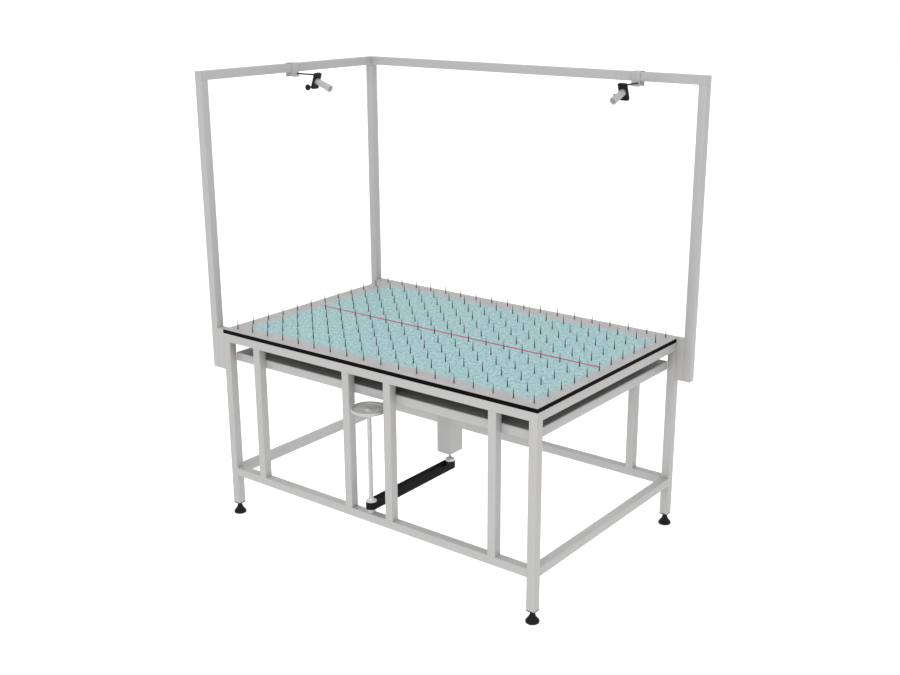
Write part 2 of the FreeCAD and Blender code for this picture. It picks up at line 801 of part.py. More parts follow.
def make_saddle(name):
    """Bent strap that hangs over the bar, with a hole for the arm in its near side."""
    body = doc.addObject("PartDesign::Body", f"saddle_strap_{name}")
    gap = "tube_size + 2 * loose_clearance"
    outer = f"{gap} + 2 * saddle_sheet"
    far = f"{gap} + saddle_sheet"
    shoulder = "saddle_reach + loose_clearance"
    crown = f"{shoulder} + saddle_sheet"
    sketch = outline(body, f"saddle_outline_{name}", "XZ_Plane", (
        (0, 0),
        ("saddle_sheet", 0),
        ("saddle_sheet", shoulder),
        (far, shoulder),
        (far, 0),
        (outer, 0),
        (outer, crown),
        (0, crown),
    ))
    strap = body.newObject("PartDesign::Pad", f"saddle_bend_{name}")
    strap.Profile = sketch
    bind(strap, Length="saddle_width")
    doc.recompute()

    def outer_bend(edge):
        across = parallel_to(Vector(0, 1, 0))(edge)
        return across and edge.CenterOfMass.z > size("saddle_reach") + size("saddle_sheet")

    rounded(body, f"saddle_rounding_{name}", "saddle_sheet", outer_bend)
    put(body, (f"-({outer}) / 2", "saddle_width / 2", "tube_size / 2 - saddle_reach"))
    return bored(
        f"laser_saddle_{name}", body, "arm_spigot_radius + running_clearance", "saddle_sheet + 2 * overrun",
        (f"({gap}) / 2 - overrun", "arm_side_distance", "-arm_drop"), ALONG_X,
    )


def make_arm(name):
    """Rod riveted into the saddle's near side, and the eye and pin at its end."""
    inner = "(tube_size / 2 + loose_clearance)"
    outer = f"({inner} + saddle_sheet)"
    bars = []
    for place, radius, start, end in (
        ("rod", "arm_radius", outer, "arm_length"),
        ("spigot", "arm_spigot_radius", f"{inner} - arm_rivet_height", f"{outer} + arm_radius"),
        ("rivet", "arm_rivet_radius", f"{inner} - arm_rivet_height", inner),
    ):
        base = (start, "arm_side_distance", "-arm_drop")
        bars.append(cylinder(f"arm_{place}_{name}", radius, f"{end} - ({start})", base, ALONG_X))
    ear_reach = "(pivot_eye_width / 2 + loose_clearance + pivot_ear_thickness)"
    eye = cylinder(
        f"arm_eye_{name}", "pivot_eye_radius", "pivot_eye_width",
        ("arm_length", "arm_side_distance - pivot_eye_width / 2", "-arm_drop"), ALONG_Y,
    )
    pin = cylinder(
        f"arm_pin_{name}", "arm_pin_radius", f"2 * {ear_reach}",
        ("arm_length", f"arm_side_distance - {ear_reach}", "-arm_drop"), ALONG_Y,
    )
    return join(f"laser_arm_{name}", bars + [eye, pin])


def make_holder(name):
    """Split clamp block for the barrel, with two ears behind for the arm's pin.

    Its own frame has X along the barrel, Z up the block and the origin in the bore.
    """
    body = doc.addObject("PartDesign::Body", f"holder_block_{name}")
    face = outline(body, f"holder_outline_{name}", "YZ_Plane", (
        (0, 0),
        ("holder_width", 0),
        ("holder_width", "holder_length"),
        (0, "holder_length"),
    ))
    block = body.newObject("PartDesign::Pad", f"holder_pad_{name}")
    block.Profile = face
    bind(block, Length="holder_thickness")
    rounded(body, f"holder_rounding_{name}", "holder_corner_radius", parallel_to(Vector(1, 0, 0)))
    put(body, ("-holder_thickness / 2", "-holder_width / 2", "-holder_length / 2"))

    back = "(holder_thickness / 2)"
    pivot_x = f"-{back} - pivot_setback"
    ears = []
    inner = "(pivot_eye_width / 2 + loose_clearance)"
    for side in (-1, 1):
        low = f"-{inner} - pivot_ear_thickness" if side < 0 else inner
        ears.append(box(
            f"holder_ear_{name}_{side + 1}",
            ("pivot_setback", "pivot_ear_thickness", "2 * pivot_eye_radius"),
            (pivot_x, low, "pivot_rise - pivot_eye_radius"),
        ))
        ears.append(cylinder(
            f"holder_knuckle_{name}_{side + 1}", "pivot_eye_radius", "pivot_ear_thickness",
            (pivot_x, low, "pivot_rise"), ALONG_Y,
        ))
    solid = join(f"holder_solid_{name}", [body] + ears)
    across = "holder_width + 2 * overrun"
    side_face = "-holder_width / 2 - overrun"
    cuts = join(f"holder_cuts_{name}", [
        cylinder(
            f"holder_bore_{name}", "barrel_radius + running_clearance", "holder_thickness + 2 * overrun",
            (f"-{back} - overrun", 0, 0), ALONG_X,
        ),
        box(
            f"holder_slit_{name}",
            ("holder_thickness + 2 * overrun", "holder_slit", "holder_length / 2 + overrun"),
            (f"-{back} - overrun", "-holder_slit / 2", "-holder_length / 2 - overrun"),
        ),
        cylinder(
            f"holder_screw_hole_{name}", "clamp_screw_radius + running_clearance", across,
            (0, side_face, "-clamp_screw_drop"), ALONG_Y,
        ),
        cylinder(
            f"holder_pin_hole_{name}", "arm_pin_radius + running_clearance", across,
            (pivot_x, side_face, "pivot_rise"), ALONG_Y,
        ),
    ])
    return cut(f"laser_holder_{name}", solid, cuts)


def make_laser_unit(name, placement):
    """Saddle, arm, holder, barrel and clamp knob of one laser, set on its bar.

    The unit's own frame has its origin on the bar's centre line and X across the
    bar, towards the table. The holder leans back about the arm's pin.
    """
    tilt = Rotation(Vector(0, 1, 0), BARREL_TILT_DEGREES)
    pivot_in_holder = Vector(-size("holder_thickness") / 2 - size("pivot_setback"), 0, size("pivot_rise"))
    pivot = Vector(size("arm_length"), size("arm_side_distance"), -size("arm_drop"))
    holder_place = placement * Placement(pivot - tilt.multVec(pivot_in_holder), tilt)

    barrel = turned(f"laser_barrel_{name}", (
        (0, 0),
        ("barrel_radius", 0),
        ("barrel_radius", "barrel_length - barrel_head_length"),
        ("barrel_head_radius", "barrel_length - barrel_head_length"),
        ("barrel_head_radius", "barrel_length"),
        ("barrel_aperture_radius", "barrel_length"),
        ("barrel_aperture_radius", "barrel_length - barrel_aperture_depth"),
        (0, "barrel_length - barrel_aperture_depth"),
    ))
    screw = "holder_width / 2 + loose_clearance"
    stem = f"{screw} + holder_width / 2 - overrun"
    knob = f"{stem} + clamp_stem_length"
    clamp = turned(f"clamp_knob_{name}", (
        (0, 0),
        ("clamp_screw_radius", 0),
        ("clamp_screw_radius", stem),
        ("clamp_stem_radius", stem),
        ("clamp_stem_radius", knob),
        ("clamp_knob_radius", knob),
        ("clamp_knob_radius", f"{knob} + clamp_knob_thickness"),
        (0, f"{knob} + clamp_knob_thickness"),
    ))
    saddle = make_saddle(name)
    arm = make_arm(name)
    holder = make_holder(name)
    doc.recompute()
    back = Vector(-size("holder_thickness") / 2, 0, 0)
    screw_tip = Vector(0, size("holder_width") / 2 - size("overrun"), -size("clamp_screw_drop"))
    saddle.Placement = placement
    arm.Placement = placement
    holder.Placement = holder_place
    barrel.Placement = holder_place * Placement(back, ALONG_X)
    clamp.Placement = holder_place * Placement(screw_tip, AGAINST_Y)
    for piece in (saddle, arm, holder, barrel, clamp):
        keep(piece)


def make_lasers():
    """One laser unit on the left bar and one on the back bar."""
    bar_x = size("table_length") / 2 + 3 * size("tube_size") / 2
    bar_y = size("table_width") / 2 - size("tube_size") / 2
    level = size("gantry_height") + size("tube_size") / 2
    left = Placement(Vector(-bar_x, size("laser_offset_left"), level), Rotation())
    back = Placement(Vector(size("laser_offset_back"), bar_y, level), Rotation(Vector(0, 0, 1), -90))
    make_laser_unit("left", left)
    make_laser_unit("back", back)


def check_and_write():
    """Stop on any failed object or bad solid, then write each sub-part to its file."""
    doc.recompute()
    for thing in doc.Objects:
        if "Invalid" in thing.State or "Error" in thing.State:
            raise RuntimeError(f"{thing.Label} failed: {thing.State}")
    os.makedirs("parts", exist_ok=True)
    for piece in sub_parts:
        if piece.Shape.isNull() or not piece.Shape.isValid() or not piece.Shape.Solids:
            raise RuntimeError(f"{piece.Label} has no valid solid")
        piece.Shape.exportStep(os.path.join("parts", piece.Label + ".step"))
    print(f"{len(sub_parts)} sub-parts, {sum(len(piece.Shape.Solids) for piece in sub_parts)} solids")


make_worktop()
make_rails("top_rail", TOP_RAIL_Z)
make_legs()
make_posts()
make_rails("lower_rail", LOWER_RAIL_Z)
make_lift_frame()
make_gantry()
make_pin_plate()
make_pins()
make_jack()
make_drive()
make_feet()
make_lasers()
check_and_write()
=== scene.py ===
import json
import math

import bpy
import numpy as np
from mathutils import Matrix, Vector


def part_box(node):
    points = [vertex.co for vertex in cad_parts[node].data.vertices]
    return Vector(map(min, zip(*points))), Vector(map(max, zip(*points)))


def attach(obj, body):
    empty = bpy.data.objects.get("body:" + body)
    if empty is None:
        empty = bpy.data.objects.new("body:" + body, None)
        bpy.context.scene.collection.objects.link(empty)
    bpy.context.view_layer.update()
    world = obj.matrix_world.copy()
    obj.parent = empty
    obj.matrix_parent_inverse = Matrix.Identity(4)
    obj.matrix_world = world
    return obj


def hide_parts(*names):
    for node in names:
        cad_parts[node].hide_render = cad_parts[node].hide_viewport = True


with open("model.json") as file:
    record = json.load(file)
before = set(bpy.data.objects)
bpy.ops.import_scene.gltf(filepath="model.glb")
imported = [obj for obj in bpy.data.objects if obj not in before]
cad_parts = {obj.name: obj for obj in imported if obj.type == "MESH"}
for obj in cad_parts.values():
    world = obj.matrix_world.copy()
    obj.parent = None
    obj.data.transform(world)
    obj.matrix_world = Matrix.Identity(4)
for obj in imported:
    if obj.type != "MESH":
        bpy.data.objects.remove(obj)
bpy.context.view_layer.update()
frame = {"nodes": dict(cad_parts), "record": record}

# Dressing of the fabric spreading table. Lengths are metres, in the frame of the
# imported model: the origin is the centre of the worktop's upper face, Z is up.

NODES = frame["nodes"]
TAU = 2 * math.pi

# Table
HALF_LENGTH = 0.900
HALF_WIDTH = 0.600
BOARD_THICKNESS = 0.018
BAND_THICKNESS = 0.002
BOARD_HALF = np.array([HALF_LENGTH - BAND_THICKNESS, HALF_WIDTH - BAND_THICKNESS])
TUBE = 0.040
TUBE_WALL = 0.002
TUBE_BEND = 0.0012
RAIL_LINE = HALF_WIDTH - TUBE / 2
OUTER_POST = 0.680
INNER_POST = 0.120
CROSS_TUBE = 0.060
FLOOR_LEVEL = -0.955

# Fits and softened edges
RUNNING_GAP = 0.00005
LOOSE_GAP = 0.0003
SOFT_EDGE = 0.0006
FINE_BEVEL = 0.0005

# Blue field and laser line on the board
FIELD_CENTRE = (0.011, -0.005)
FIELD_HALF = (0.825, 0.501)
FIELD_EDGE = (-0.028, 0.034)
WEAVE_ANGLE = -0.6436
LINE_Y = -0.010
LINE_HALF_WIDTH = 0.006
LINE_FADE = 0.003
LINE_LEFT = (-0.822, -0.790)
LINE_RIGHT = (0.826, 0.834)

# Pins and their holes
PIN_PITCH = 0.100
PIN_COLUMNS = 18
PIN_ROWS = 12
PIN_PLATE_TOP = -0.024
PIN_RADIUS = 0.0025
PIN_TIP = 0.044
HOLE_RADIUS = 0.0036
HOLE_CHAMFER = 0.0007

# Drive and jack
WHEEL_LEVEL = -0.210
WHEEL_RIM = 0.009
WHEEL_FACE = 0.071
HUB_RADIUS = 0.017
SHAFT_RADIUS = 0.010
JOURNAL_RADIUS = 0.008
JOURNAL_LENGTH = 0.0123
PULLEY_RADIUS = 0.0207
BELT_THICKNESS = 0.004
BELT_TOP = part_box("drive_belt")[1][2]
SPINDLE_RADIUS = 0.006
SCREW_RADIUS = 0.010
SCREW_LEAD = 0.010
JACK_SHOULDER = -0.5837
BEARING_NECK = 0.015
LIFT_TUBE_RADIUS = 0.019
LIFT_TUBE_BORE = 0.014
ROD_RADIUS = 0.008
ROD_X = 0.600
ROD_Y = 0.300
BOX_WALL = 0.003
BOX_FLOOR = 0.006
BOX_BEND = 0.004

# Gantry, caps and feet
GANTRY_HEIGHT = 1.160
SPACER_HEIGHT = 0.200
BAR_LINE = GANTRY_HEIGHT + TUBE / 2
SPACER_LINE = HALF_LENGTH + TUBE / 2
POST_LINE = HALF_LENGTH + 1.5 * TUBE
CAP_THICKNESS = 0.002
CAP_PLUG = 0.012
PLUG_WIDTH = TUBE - 2 * TUBE_WALL - 2 * LOOSE_GAP
PLUG_BEND = 0.001
FOOT_HEIGHT = 0.053
FOOT_PLATE = 0.005
FOOT_PLUG = 0.025
FOOT_THREAD = 0.005

# Laser units: name, place on the bar and the way the unit faces
LASER_PLACES = (
    ("left", (-POST_LINE, -0.0035, BAR_LINE), (1, 0, 0)),
    ("back", (0.630, RAIL_LINE, BAR_LINE), (0, -1, 0)),
)
BARREL_TILT = 20
BAR_HALF = TUBE / 2 + LOOSE_GAP
SADDLE_WIDTH = 0.043
SADDLE_SHEET = 0.003
SADDLE_REACH = 0.064
SADDLE_BEND = 0.0015
ARM_PIVOT = (0.146, 0.012, -0.029)
ARM_RADIUS = 0.0038
SPIGOT_RADIUS = 0.003
RIVET_RADIUS = 0.0055
RIVET_HEIGHT = 0.0015
PIVOT_EYE = 0.0045
PIVOT_PIN = 0.002
PIVOT_BACK = 0.011
PIVOT_RISE = 0.026
EAR_GAP = 0.0043
EAR_THICKNESS = 0.005
HOLDER_WIDTH = 0.045
HOLDER_LENGTH = 0.080
HOLDER_THICKNESS = 0.012
HOLDER_CORNER = 0.006
HOLDER_BORE = 0.01555
HOLDER_SLIT = 0.002
BARREL_RADIUS = 0.0155
BARREL_LENGTH = 0.103
BARREL_HEAD = 0.028
HEAD_RADIUS = 0.017
APERTURE = 0.011
APERTURE_DEPTH = 0.004
KNOB_DROP = 0.030
KNOB_SCREW = 0.003
KNOB_SCREW_LENGTH = 0.0443
KNOB_STEM = 0.004
KNOB_STEM_LENGTH = 0.022
KNOB_RADIUS = 0.015
KNOB_THICKNESS = 0.009

# Camera of the photograph
CAMERA_PLACE = (3.30017, -4.25421, 1.64810)
CAMERA_PITCH = -0.3060
CAMERA_YAW = 0.6436
CAMERA_LENS = 47.716
CAMERA_SHIFT = (-0.01979, 0.00680)

# Soft lights: name, place, target, size and power in watts
LIGHTS = (
    ("key", (1.5, -5.5, 0.8), (0.0, 0.0, -0.6), 3.0, 76),
    ("side", (5.0, -1.5, -0.5), (0.0, 0.0, -0.5), 2.0, 19),
    ("above", (0.0, -0.5, 5.0), (0.0, 0.0, 0.0), 4.0, 49),
    ("below_left", (-0.5, 0.0, -0.19), (-0.5, 0.0, -1.0), 0.7, 2.6),
    ("below_right", (0.62, 0.0, -0.19), (0.62, 0.0, -1.0), 0.5, 1.9),
)


# Mesh helpers. A solid is a pair: an array of points, and a list of integer arrays
# that hold one face in each row.

def new_piece(name, node, solid, body, slot, smooth_angle, finish=None):
    """A piece of the scene that rides on a body and takes the place of a node.

    Edges that turn by more than the angle, in degrees, stay sharp. The finish is the
    slot's own unless another is given.
    """
    points, faces = solid
    mesh = bpy.data.meshes.new(name)
    rows = [row for block in faces for row in np.asarray(block).tolist()]
    mesh.from_pydata(np.asarray(points, float).tolist(), [], rows)
    mesh.materials.append(FINISHES[slot] if finish is None else finish)
    mesh.validate()
    mesh.update()
    piece = bpy.data.objects.new(name, mesh)
    bpy.context.scene.collection.objects.link(piece)
    mesh.shade_smooth()
    mesh.set_sharp_from_angle(angle=math.radians(smooth_angle))
    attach(piece, body)
    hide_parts(node)
    return piece


def grid_faces(rows, columns, closed_rows=False, closed_columns=True):
    """Quads between neighbours of a grid of points that is numbered row by row."""
    row, column = np.meshgrid(
        np.arange(rows if closed_rows else rows - 1),
        np.arange(columns if closed_columns else columns - 1), indexing="ij",
    )
    here, onward = row * columns, (row + 1) % rows * columns
    beside = (column + 1) % columns
    quads = np.stack([here + column, here + beside, onward + beside, onward + column], axis=-1)
    return quads.reshape(-1, 4)


def closed_rings(rings, first_pole=None, last_pole=None):
    """Solid from rings of points.

    The first and the last ring close with a fan of triangles to their pole. Where there
    are no poles they are joined to each other.
    """
    rings = np.asarray(rings, float)
    count, turns = rings.shape[:2]
    here = np.arange(turns)
    beside = (here + 1) % turns
    top = (count - 1) * turns
    points = rings.reshape(-1, 3)
    faces = [grid_faces(count, turns, closed_rows=first_pole is None and last_pole is None)]
    for pole, start, end in ((first_pole, beside, here), (last_pole, top + here, top + beside)):
        if pole is not None:
            faces.append(np.stack([start, end, np.full(turns, len(points))], axis=-1))
            points = np.vstack([points, pole])
    return points, faces


def flipped(solid):
    """Solid with its faces turned round."""
    return solid[0], [block[:, ::-1] for block in solid[1]]


def shifted(solid, offset):
    """Solid moved by an offset."""
    return solid[0] + np.asarray(offset, float), solid[1]


def placed(solid, origin=(0, 0, 0), x_axis=(1, 0, 0), z_axis=(0, 0, 1)):
    """Solid carried from its own axes: p = o + x X + y Y + z Z, where Y is Z x X."""
    axes = np.array([x_axis, np.cross(z_axis, x_axis), z_axis], float)
    return np.asarray(origin, float) + solid[0] @ axes, solid[1]


def merge(solids):
    """One solid from several."""
    faces = []
    offset = 0
    for points, blocks in solids:
        faces.extend([np.asarray(block) + offset for block in blocks])
        offset += len(points)
    return np.vstack([points for points, _ in solids]), faces


def rays(angle):
    """Unit vectors (cos t, sin t) at the given angles."""
    return np.stack([np.cos(angle), np.sin(angle)], axis=-1)


def at_level(outline, level):
    """Flat outline at a level."""
    return np.column_stack([outline, np.full(len(outline), level)])


def rings_about_z(radius, level):
    """Rings (r cos t, r sin t, z) from a row of radii, one for each turn, at each level."""
    angle = TAU * np.arange(radius.shape[1]) / radius.shape[1]
    level = np.broadcast_to(level, radius.shape)
    return np.dstack([radius * np.cos(angle), radius * np.sin(angle), level])


def lathe(profile, turns=64, lobes=0, lobe_depth=0.0, lobe_levels=(0.0, 0.0)):
    """Solid of revolution about Z from rows of (radius, height).

    Point (i, j) is (r_i cos t_j, r_i sin t_j, z_i) with t_j = 2 pi j / turns. With
    lobes, the radius between the two levels shrinks by depth (1 - cos(lobes t)) / 2.
    A profile that starts and ends on the axis closes with fans of triangles.
    """
    profile = np.asarray(profile, float)
    radius, level = profile[:, :1], profile[:, 1:]
    angle = TAU * np.arange(turns) / turns
    inside = (level >= lobe_levels[0]) & (level <= lobe_levels[1])
    rings = rings_about_z(radius - inside * lobe_depth * (1 - np.cos(lobes * angle)) / 2, level)
    if profile[0, 0] == 0:
        return closed_rings(rings[1:-1], (0, 0, profile[0, 1]), (0, 0, profile[-1, 1]))
    return closed_rings(rings)


def round_corners(profile, radius, steps=3):
    """Profile with each inner corner replaced by an arc of up to the radius.

    The arc is the quadratic curve through the two points that lie one radius, or
    four tenths of the shorter side, from the corner, with the corner as its pull.
    """
    profile = [np.asarray(point, float) for point in profile]
    result = [profile[0]]
    for before, corner, after in zip(profile, profile[1:], profile[2:]):
        towards = before - corner
        onward = after - corner
        reach = min(radius, 0.4 * np.linalg.norm(towards), 0.4 * np.linalg.norm(onward))
        start = corner + towards / np.linalg.norm(towards) * reach
        end = corner + onward / np.linalg.norm(onward) * reach
        for share in np.linspace(0, 1, steps + 1):
            pull = 2 * share * (1 - share)
            result.append((1 - share) ** 2 * start + pull * corner + share ** 2 * end)
    result.append(profile[-1])
    return np.array(result)


def stepped(bore, bottom, steps):
    """Profile of a turned piece that starts and ends at its bore.

    Each step is a radius and the level that it goes up or down to. A third number is
    the radius that the step tapers to.
    """
    rows = [(bore, bottom)]
    for radius, level, *taper in steps:
        rows += [(radius, rows[-1][1]), (taper[0] if taper else radius, level)]
    return rows + [(bore, rows[-1][1])]


def corner_rays(half, steps):
    """The corners of a rectangle and the unit vectors of a quarter turn at each."""
    signs = np.array([(1, 1), (-1, 1), (-1, -1), (1, -1)])
    turn = TAU * (np.arange(4)[:, None] + np.linspace(0, 1, steps + 1)) / 4
    return np.repeat(signs * half, steps + 1, axis=0), rays(turn.reshape(-1))


def tube_section(width, depth, bend, steps=3):
    """Closed outline of a square or oblong tube with rounded corners, as a polygon.

    Each corner's centre lies one bend inside both faces, and its points are
    c + bend (cos t, sin t) over a quarter turn.
    """
    corners, ray = corner_rays(np.array([width / 2 - bend, depth / 2 - bend]), steps)
    return corners + bend * ray


def extruded(outline, low, high, bevel=FINE_BEVEL):
    """Closed outline carried from one level to another, with rounded end edges.

    A ring moved inwards by e has the points p + e b, where b is the sum of the two
    side normals over one plus their product. Both ends step through a quarter turn.
    """
    outline = np.asarray(outline, float)
    side = np.roll(outline, -1, axis=0) - outline
    side /= np.linalg.norm(side, axis=1, keepdims=True)
    inward = np.stack([-side[:, 1], side[:, 0]], axis=-1)
    before = np.roll(inward, 1, axis=0)
    shift = (inward + before) / (1 + (inward * before).sum(axis=1, keepdims=True))
    turn = np.linspace(0, math.pi / 2, 3)
    ends = [(outline + bevel * (1 - math.sin(t)) * shift, low + bevel * (1 - math.cos(t))) for t in turn]
    ends += [(ring, low + high - level) for ring, level in ends[::-1]]
    rings = np.vstack([at_level(ring, level) for ring, level in ends])
    around = np.arange(len(outline))[None]
    faces = [grid_faces(len(ends), len(outline)), around[:, ::-1], around + (len(ends) - 1) * len(outline)]
    return rings, faces


def ring_plate(outline, radius, low, high):
    """Plate with the given outline and a round hole in its middle.

    The hole's points r (cos t, sin t) stand at the angles t of the outline's points.
    """
    hole = radius * rays(np.arctan2(outline[:, 1], outline[:, 0]))
    inset = outline * (1 - FINE_BEVEL / np.abs(outline).max())
    rings = (
        (inset, low), (outline, low + FINE_BEVEL), (outline, high - FINE_BEVEL), (inset, high),
        (hole, high), (hole, low),
    )
    return closed_rings([at_level(ring, level) for ring, level in rings])


def welded(solid):
    """Solid whose coinciding points are made one, and its faces cleared of repeats."""
    points, faces = solid
    keys = np.round(points * 1e5).astype(np.int64)
    _, first, number = np.unique(keys, axis=0, return_index=True, return_inverse=True)
    sorted_rows = {3: [], 4: []}
    for block in faces:
        for row in number.reshape(-1)[np.asarray(block)].tolist():
            kept = [point for point, before in zip(row, row[-1:] + row[:-1]) if point != before]
            if len(set(kept)) > 2:
                sorted_rows[len(kept)].append(kept)
    return points[first], [np.array(rows) for rows in sorted_rows.values() if rows]


# Node helpers. A value is a number, a colour or a node's output.

def feed(tree, socket, value):
    """A value put into a socket: linked where it comes from a node, set otherwise."""
    if hasattr(value, "is_output"):
        tree.links.new(value, socket)
    elif socket.type == "RGBA":
        socket.default_value = (*value, 1.0)
    else:
        socket.default_value = value


def feed_all(tree, node, values):
    """Values put into a node's sockets by name."""
    for key, value in values.items():
        feed(tree, node.inputs[key], value)


def noise(tree, vector, scale, detail=3.0, roughness=0.55):
    """Fractal noise of the given scale along a vector."""
    node = tree.nodes.new("ShaderNodeTexNoise")
    feed_all(tree, node, {"Vector": vector, "Scale": scale, "Detail": detail, "Roughness": roughness})
    return node.outputs["Fac"]


def ranged(tree, value, low, high, to_low=0.0, to_high=1.0, curve="LINEAR"):
    """Value moved from one range to another, held at its ends."""
    node = tree.nodes.new("ShaderNodeMapRange")
    node.clamp = True
    node.interpolation_type = curve
    feed_all(tree, node, {
        "Value": value, "From Min": low, "From Max": high, "To Min": to_low, "To Max": to_high,
    })
    return node.outputs["Result"]


def maths(tree, operation, first, second=None):
    """Arithmetic on two values."""
    node = tree.nodes.new("ShaderNodeMath")
    node.operation = operation
    feed(tree, node.inputs[0], first)
    if second is not None:
        feed(tree, node.inputs[1], second)
    return node.outputs[0]


def plus(tree, first, second):
    """Sum of two values."""
    return maths(tree, "ADD", first, second)


def times(tree, first, second):
    """Product of two values."""
    return maths(tree, "MULTIPLY", first, second)


def centred(tree, value, amount):
    """Noise counted from its middle, times an amount."""
    return times(tree, maths(tree, "SUBTRACT", value, 0.5), amount)


def away(tree, value, middle):
    """How far a value lies from a middle, on either side."""
    return maths(tree, "ABSOLUTE", maths(tree, "SUBTRACT", value, middle))


def vector_maths(tree, operation, first, second=None, output="Vector"):
    """Arithmetic on two vectors."""
    node = tree.nodes.new("ShaderNodeVectorMath")
    node.operation = operation
    feed(tree, node.inputs[0], first)
    if second is not None:
        feed(tree, node.inputs[1], second)
    return node.outputs[output]


def mixed(tree, share, first, second):
    """Two colours mixed by a share."""
    node = tree.nodes.new("ShaderNodeMix")
    node.data_type = "RGBA"
    feed_all(tree, node, {"Factor": share, 6: first, 7: second})
    return node.outputs[2]


def stretched(tree, vector, scale):
    """Coordinates scaled apart along the three axes."""
    node = tree.nodes.new("ShaderNodeMapping")
    feed_all(tree, node, {"Vector": vector, "Scale": scale})
    return node.outputs["Vector"]


def split(tree, vector):
    """The three parts of a vector."""
    node = tree.nodes.new("ShaderNodeSeparateXYZ")
    feed(tree, node.inputs[0], vector)
    return node.outputs


def make_finish_group():
    """Tone, polish and height of a coated or moulded surface.

    Broad clouds shift the tone, a fine grain gives the coat its texture, and sparse
    scuffs and specks lighten it. All of them are noise along Object coordinates.
    """
    tree = bpy.data.node_groups.new("surface_finish", "ShaderNodeTree")
    inputs = (
        ("Vector", "Vector"), ("Colour", "Color"), ("Cloud Scale", "Float"), ("Cloud Amount", "Float"),
        ("Grain Scale", "Float"), ("Grain Amount", "Float"), ("Scuff Amount", "Float"),
        ("Roughness", "Float"), ("Roughness Spread", "Float"),
    )
    outputs = (("Colour", "Color"), ("Roughness", "Float"), ("Height", "Float"))
    for way, sockets in (("INPUT", inputs), ("OUTPUT", outputs)):
        for socket, kind in sockets:
            tree.interface.new_socket(socket, in_out=way, socket_type=f"NodeSocket{kind}")
    given = tree.nodes.new("NodeGroupInput").outputs
    vector = given["Vector"]
    cloud = noise(tree, vector, given["Cloud Scale"], 4.0, 0.5)
    grain = noise(tree, vector, given["Grain Scale"], 2.0, 0.5)
    streaks = noise(tree, stretched(tree, vector, (30, 30, 4)), 3.0, 5.0, 0.7)
    scuffs = ranged(tree, streaks, 0.66, 0.82)

    tone = times(tree, centred(tree, cloud, given["Cloud Amount"]), 2.0)
    level = plus(tree, 1.0, plus(tree, tone, centred(tree, grain, given["Grain Amount"])))
    shaded = tree.nodes.new("ShaderNodeVectorMath")
    shaded.operation = "SCALE"
    feed_all(tree, shaded, {0: given["Colour"], "Scale": level})
    worn = times(tree, scuffs, given["Scuff Amount"])
    spread = centred(tree, cloud, given["Roughness Spread"])
    rough = plus(tree, plus(tree, given["Roughness"], spread), times(tree, scuffs, 0.1))
    feed_all(tree, tree.nodes.new("NodeGroupOutput"), {
        "Colour": mixed(tree, worn, shaded.outputs[0], (0.62, 0.61, 0.60)),
        "Roughness": rough, "Height": grain,
    })
    return tree


FINISH = make_finish_group()


def start_material(name):
    """A material with its Principled shader and its Object coordinates."""
    material = bpy.data.materials.new(name)
    material.use_nodes = True
    tree = material.node_tree
    coordinates = tree.nodes.new("ShaderNodeTexCoord").outputs["Object"]
    return material, tree, tree.nodes["Principled BSDF"], coordinates


def add_bump(tree, shader, height, strength, distance):
    """Bump from a height, fed to the shader's normal."""
    bump = tree.nodes.new("ShaderNodeBump")
    feed_all(tree, bump, {"Strength": strength, "Distance": distance, "Height": height})
    feed(tree, shader.inputs["Normal"], bump.outputs["Normal"])


def coated(
    name, colour, roughness, clouds, grain, scuffs, specular=0.5, bump=0.15, spread=0.1, metallic=0.0,
):
    """Coated or moulded material from the shared finish group.

    Clouds and grain are each a scale and an amount. The colour is three numbers, or a
    function that makes it from the material's tree and coordinates.
    """
    material, tree, shader, coordinates = start_material(name)
    finish = tree.nodes.new("ShaderNodeGroup")
    finish.node_tree = FINISH
    feed_all(tree, finish, {
        "Vector": coordinates, "Colour": colour(tree, coordinates) if callable(colour) else colour,
        "Cloud Scale": clouds[0], "Cloud Amount": clouds[1],
        "Grain Scale": grain[0], "Grain Amount": grain[1], "Scuff Amount": scuffs,
        "Roughness": roughness, "Roughness Spread": spread,
    })
    feed_all(tree, shader, {
        "Base Color": finish.outputs["Colour"], "Roughness": finish.outputs["Roughness"],
        "Metallic": metallic, "Specular IOR Level": specular,
    })
    add_bump(tree, shader, finish.outputs["Height"], bump, 0.0003)
    return material


BLACK = (0.006, 0.006, 0.006)


def below_belt_black_colour(tree, coordinates):
    """Black below the belt's upper edge, and paint above it."""
    above = ranged(tree, split(tree, coordinates)[2], BELT_TOP, BELT_TOP + 0.0006)
    return mixed(tree, above, BLACK, (0.55, 0.55, 0.54))


def from_wheel_axis(tree, coordinates):
    """Vector p - c from the handwheel's centre to a point."""
    return vector_maths(tree, "SUBTRACT", coordinates, (0.0, -RAIL_LINE, WHEEL_LEVEL))


def wheel_colour_with_painted_light(tree, coordinates):
    """Painted light: the face is paler than the painted rim, to lift the shade that the frame casts into
    the dish. The tone changes where |p - c| passes the face's radius.
    """
    distance = vector_maths(tree, "LENGTH", from_wheel_axis(tree, coordinates), output="Value")
    outside = ranged(tree, distance, WHEEL_FACE - 0.0005, WHEEL_FACE + 0.0005)
    return mixed(tree, outside, (0.64, 0.64, 0.63), (0.40, 0.40, 0.39))


